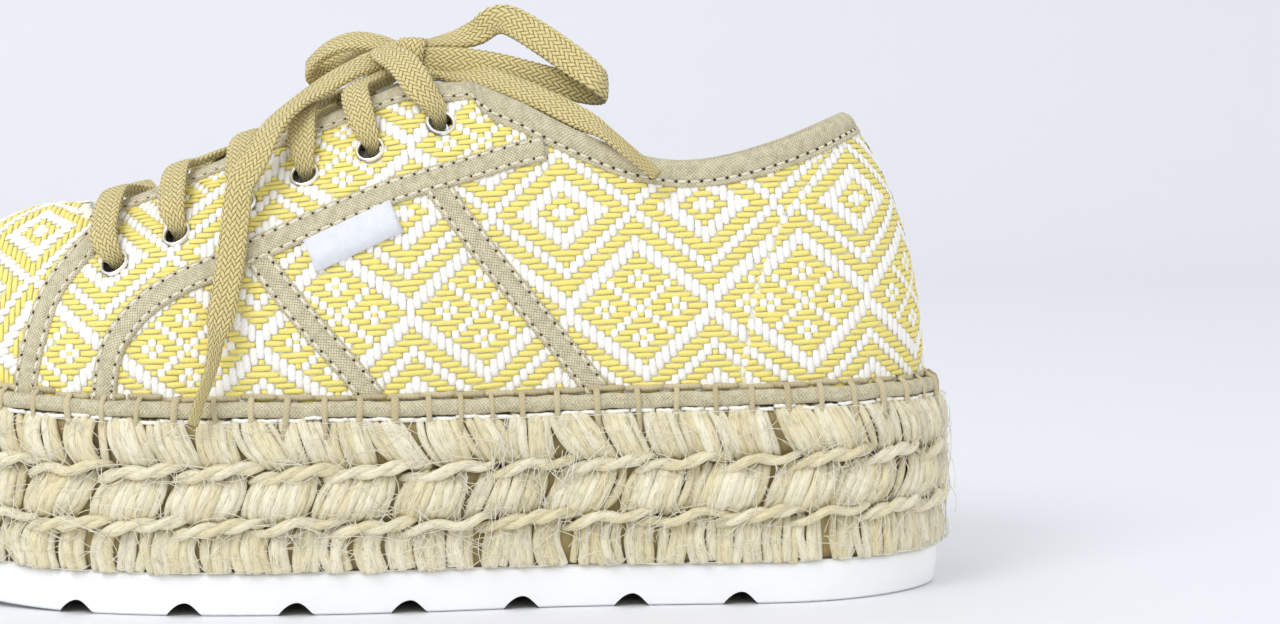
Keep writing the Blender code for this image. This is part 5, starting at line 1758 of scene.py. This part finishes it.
# ---------------------------------------------------------------- sole
@dataclass(frozen=True)
class Outsole:
    """White rubber outsole with bell-shaped notches under its edge."""

    inset: float = 0.9
    pitch: float = 25.2
    first: float = -94.5
    count: int = 8
    half_width: float = 4.7
    depth: float = 3.1

    def build(self, last: Last, wardrobe: Wardrobe) -> None:
        """Rounded slab with the notches cut across it."""
        top = last.sole_thickness - 0.1
        profile = ((8.0, 0.0), (2.6, 0.0), (1.9, 0.15), (1.35, 0.6), (1.15, 1.4), (0.75, 4.5), (0.45, 8.2), (0.5, 8.9),
                   (0.8, 9.4), (1.4, top), (8.0, top))
        levels = [(self.inset + out, lambda x, up=up: last.floor_height(x) + up) for out, up in profile]
        sole = Bench.grid("outsole_body", last.slab(np.linspace(0.0, FULL_TURN, 321), levels), close=0.01)
        cutters = []
        for i in range(self.count):
            x = self.first + i * self.pitch
            base = float(last.floor_height(np.array(x)))
            s = np.linspace(-1.0, 1.0, 25)
            arch = np.where(s < 0.0, np.cos(math.pi * s / 2.0) ** 0.8, np.cos(math.pi * s / 2.0) ** 1.5)
            bell = np.column_stack([x + self.half_width * s, base - 0.4 + (self.depth + 0.4) * arch])
            profile = np.vstack([bell, [[x + self.half_width, base - 4.0], [x - self.half_width, base - 4.0]],
                                 bell[:1]])
            ends = []
            for y, share in ((-70.0, 0.0), (-70.0, 1.0), (70.0, 1.0), (70.0, 0.0)):
                ring = profile if share else profile * 0.0 + profile.mean(axis=0)
                ends.append(np.column_stack([ring[:, 0], np.full(len(ring), y), ring[:, 1]]))
            cutters.append(Bench.grid(f"notch_{i}", np.array(ends), close=0.001))
        cutter = Bench.joined(cutters)
        for piece in (sole, cutter):
            piece.data.materials.append(wardrobe.rubber)
            piece.data.materials.append(wardrobe.notch)
        # the cut faces inside the notches take the dark notch finish, painted shade
        cutter.data.polygons.foreach_set("material_index", np.ones(len(cutter.data.polygons), int))
        Bench.cut(sole, cutter)
        bpy.ops.object.shade_smooth_by_angle(angle=math.radians(35.0))
        Bench.dress(sole, wardrobe.rubber, "outsole_rubber", "outsole")


@dataclass(frozen=True)
class Tier:
    """One wound jute layer: tufts of strands laid over its rim."""

    name: str
    node: str
    low: float                  # share of the platform's height where it starts
    high: float
    pitch: float                # distance between tufts
    strands: int                # strands in each tuft
    slant: float                # how far a tuft's top lies behind its foot
    bow: float                  # how far its middle swings forward
    swell: float                # how far it stands out
    radius: float               # half width of a strand
    foot: float                 # share of the rim's curve that is left out at the bottom


@dataclass(frozen=True)
class JutePlatform:
    """Three wound layers of jute, the linked cords between them and the loose hairs."""

    tiers: tuple[Tier, ...] = (
        Tier("jute_lower", "braid_lower", 0.0, 0.295, 6.8, 3, 1.0, 0.8, 0.8, 1.28, 0.26),
        Tier("jute_middle", "braid_middle", 0.315, 0.645, 17.0, 9, 4.4, 0.0, 2.0, 1.16, 0.0),
        Tier("jute_upper", "braid_upper", 0.665, 1.0, 10.2, 5, -4.6, 0.4, 1.5, 1.18, 0.0),
    )
    link: float = 17.4          # distance between the links of the cords in the grooves
    loose: int = 3000           # how many loose hairs

    def build(self, last: Last, wardrobe: Wardrobe) -> None:
        """Core, strands, cords and hairs."""
        rng = np.random.default_rng(11)
        for tier in self.tiers:
            self.core(last, tier, wardrobe)
            self.strands(last, tier, rng, wardrobe)
        for word, share in (("lower", 0.300), ("upper", 0.650)):
            self.links(last, f"jute_cord_{word}", f"seam_cord_{word}", share, rng, wardrobe)
        self.hairs(last, rng, wardrobe)

    def core(self, last: Last, tier: Tier, wardrobe: Wardrobe) -> None:
        """Solid layer behind the strands, in the darker core jute that is painted shade in the gaps between them."""
        low, high = tier.low, tier.high
        lift = 0.1 if low == 0.0 else 0.0
        profile = ((14.0, low), (3.4, low), (2.2, low * 0.85 + high * 0.15), (1.9, (low + high) / 2),
                   (2.2, low * 0.15 + high * 0.85), (3.4, high), (14.0, high))
        levels = [(inset, lambda x, share=share: last.layer_height(x, share) + lift) for inset, share in profile]
        rows = last.slab(np.linspace(0.0, FULL_TURN, 241), levels)
        Bench.dress(Bench.grid(f"{tier.name}_core", rows, close=0.01), wardrobe.jute_deep, "jute", tier.node)

    def strands(self, last: Last, tier: Tier, rng: np.random.Generator, wardrobe: Wardrobe) -> None:
        """Strands of every tuft, fanned and rounded over the rim."""
        tufts = last.walk(tier.pitch)
        total, each = len(tufts), tier.strands
        per_mm = last.per_mm(np.repeat(tufts, each)[:, None])
        steps = np.linspace(0.0, 1.0, 15)

        def by_tuft(spread: float) -> Array:
            """One random number for every tuft, repeated for its strands."""
            return np.repeat(rng.normal(0.0, spread, total), each)[:, None]

        count = total * each
        centre = np.repeat(tufts, each)[:, None]
        seat = np.tile(np.linspace(-1.0, 1.0, each), total)[:, None]
        fan = 0.86 + 0.14 * np.sin(steps * math.pi)[None]
        spread = seat * tier.pitch * 0.47 * (each - 1.0) / each * fan * (1.0 + by_tuft(0.05))
        slant = tier.slant * (1.0 + by_tuft(0.30)) + rng.normal(0.0, 0.35, (count, 1))
        bow = tier.bow * (1.0 + by_tuft(0.6)) + rng.normal(0.0, 0.25, (count, 1))
        curve = np.sin((steps - 0.15) * math.pi * 1.1)[None] * bow
        place = centre + (spread + (steps - 0.5)[None] * slant - curve + by_tuft(0.5)
                          + rng.normal(0.0, 0.12, (count, 1))) * per_mm
        rim = np.sin((tier.foot + (1.0 - tier.foot) * steps) * math.pi) ** 0.45
        crown = np.sqrt(np.clip(1.0 - (0.97 * seat) ** 2, 0.05, 1.0))
        inset = 4.0 - (2.9 + tier.swell * crown + by_tuft(0.22)) * rim[None] + rng.normal(0.0, 0.14, (count, 1))
        share = tier.low + (tier.high - tier.low) * (0.01 + 0.98 * steps)[None] + by_tuft(0.004) \
            + rng.normal(0.0, 0.005, (count, 1))
        plan, outward = last.outline(place, 0.0)
        plan = plan - outward * inset[..., None]
        height = last.layer_height(plan[..., 0], share) + (0.2 if tier.low == 0.0 else 0.0)
        lines = raised(plan, height)
        face = raised(outward, np.zeros(outward.shape[:2]))
        waist = 0.80 + 0.20 * np.sin((tier.foot + (1.0 - tier.foot) * steps) * math.pi) ** 0.6
        slim = tier.radius * (1.0 + rng.normal(0.0, 0.12, (count, 1))) * waist[None] \
            * (1.0 + 0.05 * np.sin(steps[None] * 9.0 + rng.random((count, 1)) * 6.3))
        Bench.dress(Bench.tubes(f"{tier.name}_strands", lines, slim, rng.random(count), 9, face, 0.8), wardrobe.jute,
                    "jute")

    def links(self, last: Last, name: str, node: str, share: float, rng: np.random.Generator,
              wardrobe: Wardrobe) -> None:
        """Chain of overlapping links in the groove, each of two plies twisted round each other."""
        starts = last.walk(self.link)
        count = len(starts)
        per_mm = last.per_mm(starts[:, None])
        steps = np.linspace(-0.5, 0.5, 25)
        reach = (self.link + 4.0) * (1.0 + rng.normal(0.0, 0.05, (count, 1)))
        place = starts[:, None] + steps[None] * reach * per_mm
        bulge_of = np.sqrt(np.clip(1.0 - (2.0 * steps[None]) ** 2, 0.0, 1.0))
        out = -2.3 + 2.9 * bulge_of + rng.normal(0.0, 0.15, (count, 1))
        rise = 3.2 * steps[None] + 0.9 * bulge_of + rng.normal(0.0, 0.35, (count, 1)) - 0.4
        size = 0.30 + 0.70 * bulge_of ** 0.7
        lines, radii = [], []
        for ply in range(2):
            turn = 2.0 * math.pi * steps[None] * reach / 13.0 + math.pi * ply + rng.random((count, 1)) * 6.3
            plan, outward = last.outline(place, 0.0)
            plan = plan + outward * (out + 0.6 * size * np.cos(turn))[..., None]
            lines.append(raised(plan, last.layer_height(plan[..., 0], share) + rise + 0.8 * size * np.sin(turn)))
            radii.append(1.08 * size * np.ones((count, 1)))
        Bench.dress(Bench.tubes(name, np.concatenate(lines), np.concatenate(radii), rng.random(2 * count), 8),
                    wardrobe.cord, "jute", node)

    def hairs(self, last: Last, rng: np.random.Generator, wardrobe: Wardrobe) -> None:
        """Loose fibres that wander over the jute and stand off it."""
        count = self.loose
        place = rng.random(count) * FULL_TURN
        share = rng.random(count) * 0.96 + 0.02
        steps = np.linspace(0.0, 1.0, 7)
        turn = rng.uniform(-math.pi, math.pi, count)[:, None] + rng.normal(0.0, 1.1, count)[:, None] * steps[None]
        reach = rng.uniform(3.0, 14.0, count)[:, None] / (len(steps) - 1)
        run = np.cumsum(reach * np.cos(turn), axis=1) * 0.036
        rise = np.cumsum(reach * np.sin(turn), axis=1) * 0.028
        stray = rng.exponential(0.36, count)[:, None]
        out = 0.75 + stray * (0.4 + np.sin(steps * rng.uniform(1.5, 3.0, count)[:, None]))
        plan, outward = last.outline(place[:, None] + run, 0.0)
        share = share[:, None] + rise
        inside = np.abs(share - 0.5) < 0.49
        share = np.clip(share, 0.01, 0.985)
        plan = plan + outward * np.where(inside, out, out * 0.5)[..., None]
        lines = raised(plan, last.layer_height(plan[..., 0], share))
        Bench.dress(Bench.tubes("jute_hairs", lines, 0.10, rng.random(count), 3), wardrobe.hair, "jute")


@dataclass(frozen=True)
class FootSeam:
    """Piping on the platform, whip stitches over it, the thread above it and the basting below."""

    height: float = 3.6
    width: float = 3.5
    pitch: float = 8.45
    first: float = 0.35

    def hoop(self, last: Last, name: str, inset: float, raise_by: float, wide: float, tall: float,
             corners: int) -> bpy.types.Object:
        """Closed ring with an oval section."""
        places = np.linspace(0.0, FULL_TURN, 481)
        plan, outward = last.outline(places, inset)
        angle = np.linspace(0.0, 2.0 * math.pi, corners + 1)
        level = last.deck_height(plan[:, 0]) + raise_by
        x, z = squared(np.cos(angle), 0.8), squared(np.sin(angle), 0.8)
        ripple = 0.12 * np.sin(places * 9.1) + 0.08 * np.sin(places * 23.7)
        points = np.empty((len(places), corners + 1, 3))
        points[..., :2] = plan[:, None] + outward[:, None] * (x * wide)[None, :, None]
        points[..., 2] = level[:, None] + z[None] * tall + ripple[:, None]
        points[-1] = points[0]
        return Bench.grid(name, points, close=0.004)

    def build(self, last: Last, wardrobe: Wardrobe) -> None:
        """Piping and all of its threads."""
        rng = np.random.default_rng(5)
        inset = last.foot_inset - 0.5 - self.width / 2.0
        piping = self.hoop(last, "piping_roll", inset, 0.3 + self.height / 2.0, self.width / 2.0, self.height / 2.0, 20)
        Bench.dress(piping, wardrobe.tape, "tape", "piping")
        places = last.walk(self.pitch) + self.first
        count = len(places)
        per_mm = FULL_TURN / (self.pitch * count)
        lean = rng.normal(0.25, 0.5, count)
        out = np.array([5.6, 4.6, 3.3, 1.6, 1.15, 1.1, 0.9, 0.5, 1.6])
        up = np.array([4.4, 4.9, 4.75, 3.6, 2.0, 0.4, -2.0, -4.2, -5.0])
        run = np.array([0.0, 0.0, 0.0, 0.1, 0.2, 0.3, 0.5, 0.8, 0.9])
        plan, outward = last.outline(places[:, None] + (run[None] * lean[:, None] * 1.6) * per_mm, 0.0)
        plan = plan - outward * out[None, :, None]
        lines = raised(plan, last.deck_height(plan[..., 0]) + up)
        face = raised(outward, np.zeros(outward.shape[:2]))
        taper = np.array([0.7, 0.9, 1.0, 1.1, 1.15, 1.0, 0.85, 0.7, 0.5])
        wide = 0.72 * (1.0 + rng.normal(0.0, 0.16, (count, 1))) * taper
        Bench.dress(Bench.tubes("whip_stitches", lines, wide, rng.random(count), 8, face, 0.6), wardrobe.whip, "tape")
        for name, inset, level, radius, pitch, finish in (
                ("running_thread", last.foot_inset - 0.8, 4.7, 0.72, 8.45, wardrobe.whip),
                ("basting", 1.9, -0.2, 0.46, 5.3, wardrobe.white)):
            starts = last.walk(pitch, inset) + self.first
            per_mm = last.per_mm(starts[:, None])
            steps = np.linspace(0.02, 0.98, 7)
            plan, outward = last.outline(starts[:, None] + steps[None] * pitch * per_mm, inset)
            dip = np.array([-0.35, 0.0, 0.15, 0.2, 0.15, 0.0, -0.35])
            plan = plan + outward * dip[None, :, None]
            wave = rng.normal(0.0, 0.2, (len(starts), 1)) + rng.normal(0.0, 0.1, (len(starts), 7))
            lines = raised(plan, last.deck_height(plan[..., 0]) + level + wave)
            Bench.dress(Bench.tubes(name, lines, radius, rng.random(len(starts)), 7), finish, "tape")


def main() -> None:
    """Build the studio, the cords and then every other piece."""
    logging.basicConfig(level=logging.INFO, format="%(message)s")
    Studio().camera()
    wardrobe = Wardrobe.open()
    last = Last()
    Bow().build(wardrobe)
    Studio().build()
    eyelets = Eyelets()
    trim = Trim()
    eyelets.build(last, wardrobe)
    Lacing(eyelets).build(last, wardrobe)
    Upper().build(last, eyelets, wardrobe)
    trim.build(last, wardrobe)
    WovenCloth().build(last, trim, eyelets, wardrobe)
    Outsole().build(last, wardrobe)
    JutePlatform().build(last, wardrobe)
    FootSeam().build(last, wardrobe)


if __name__ == "__main__":
    main()
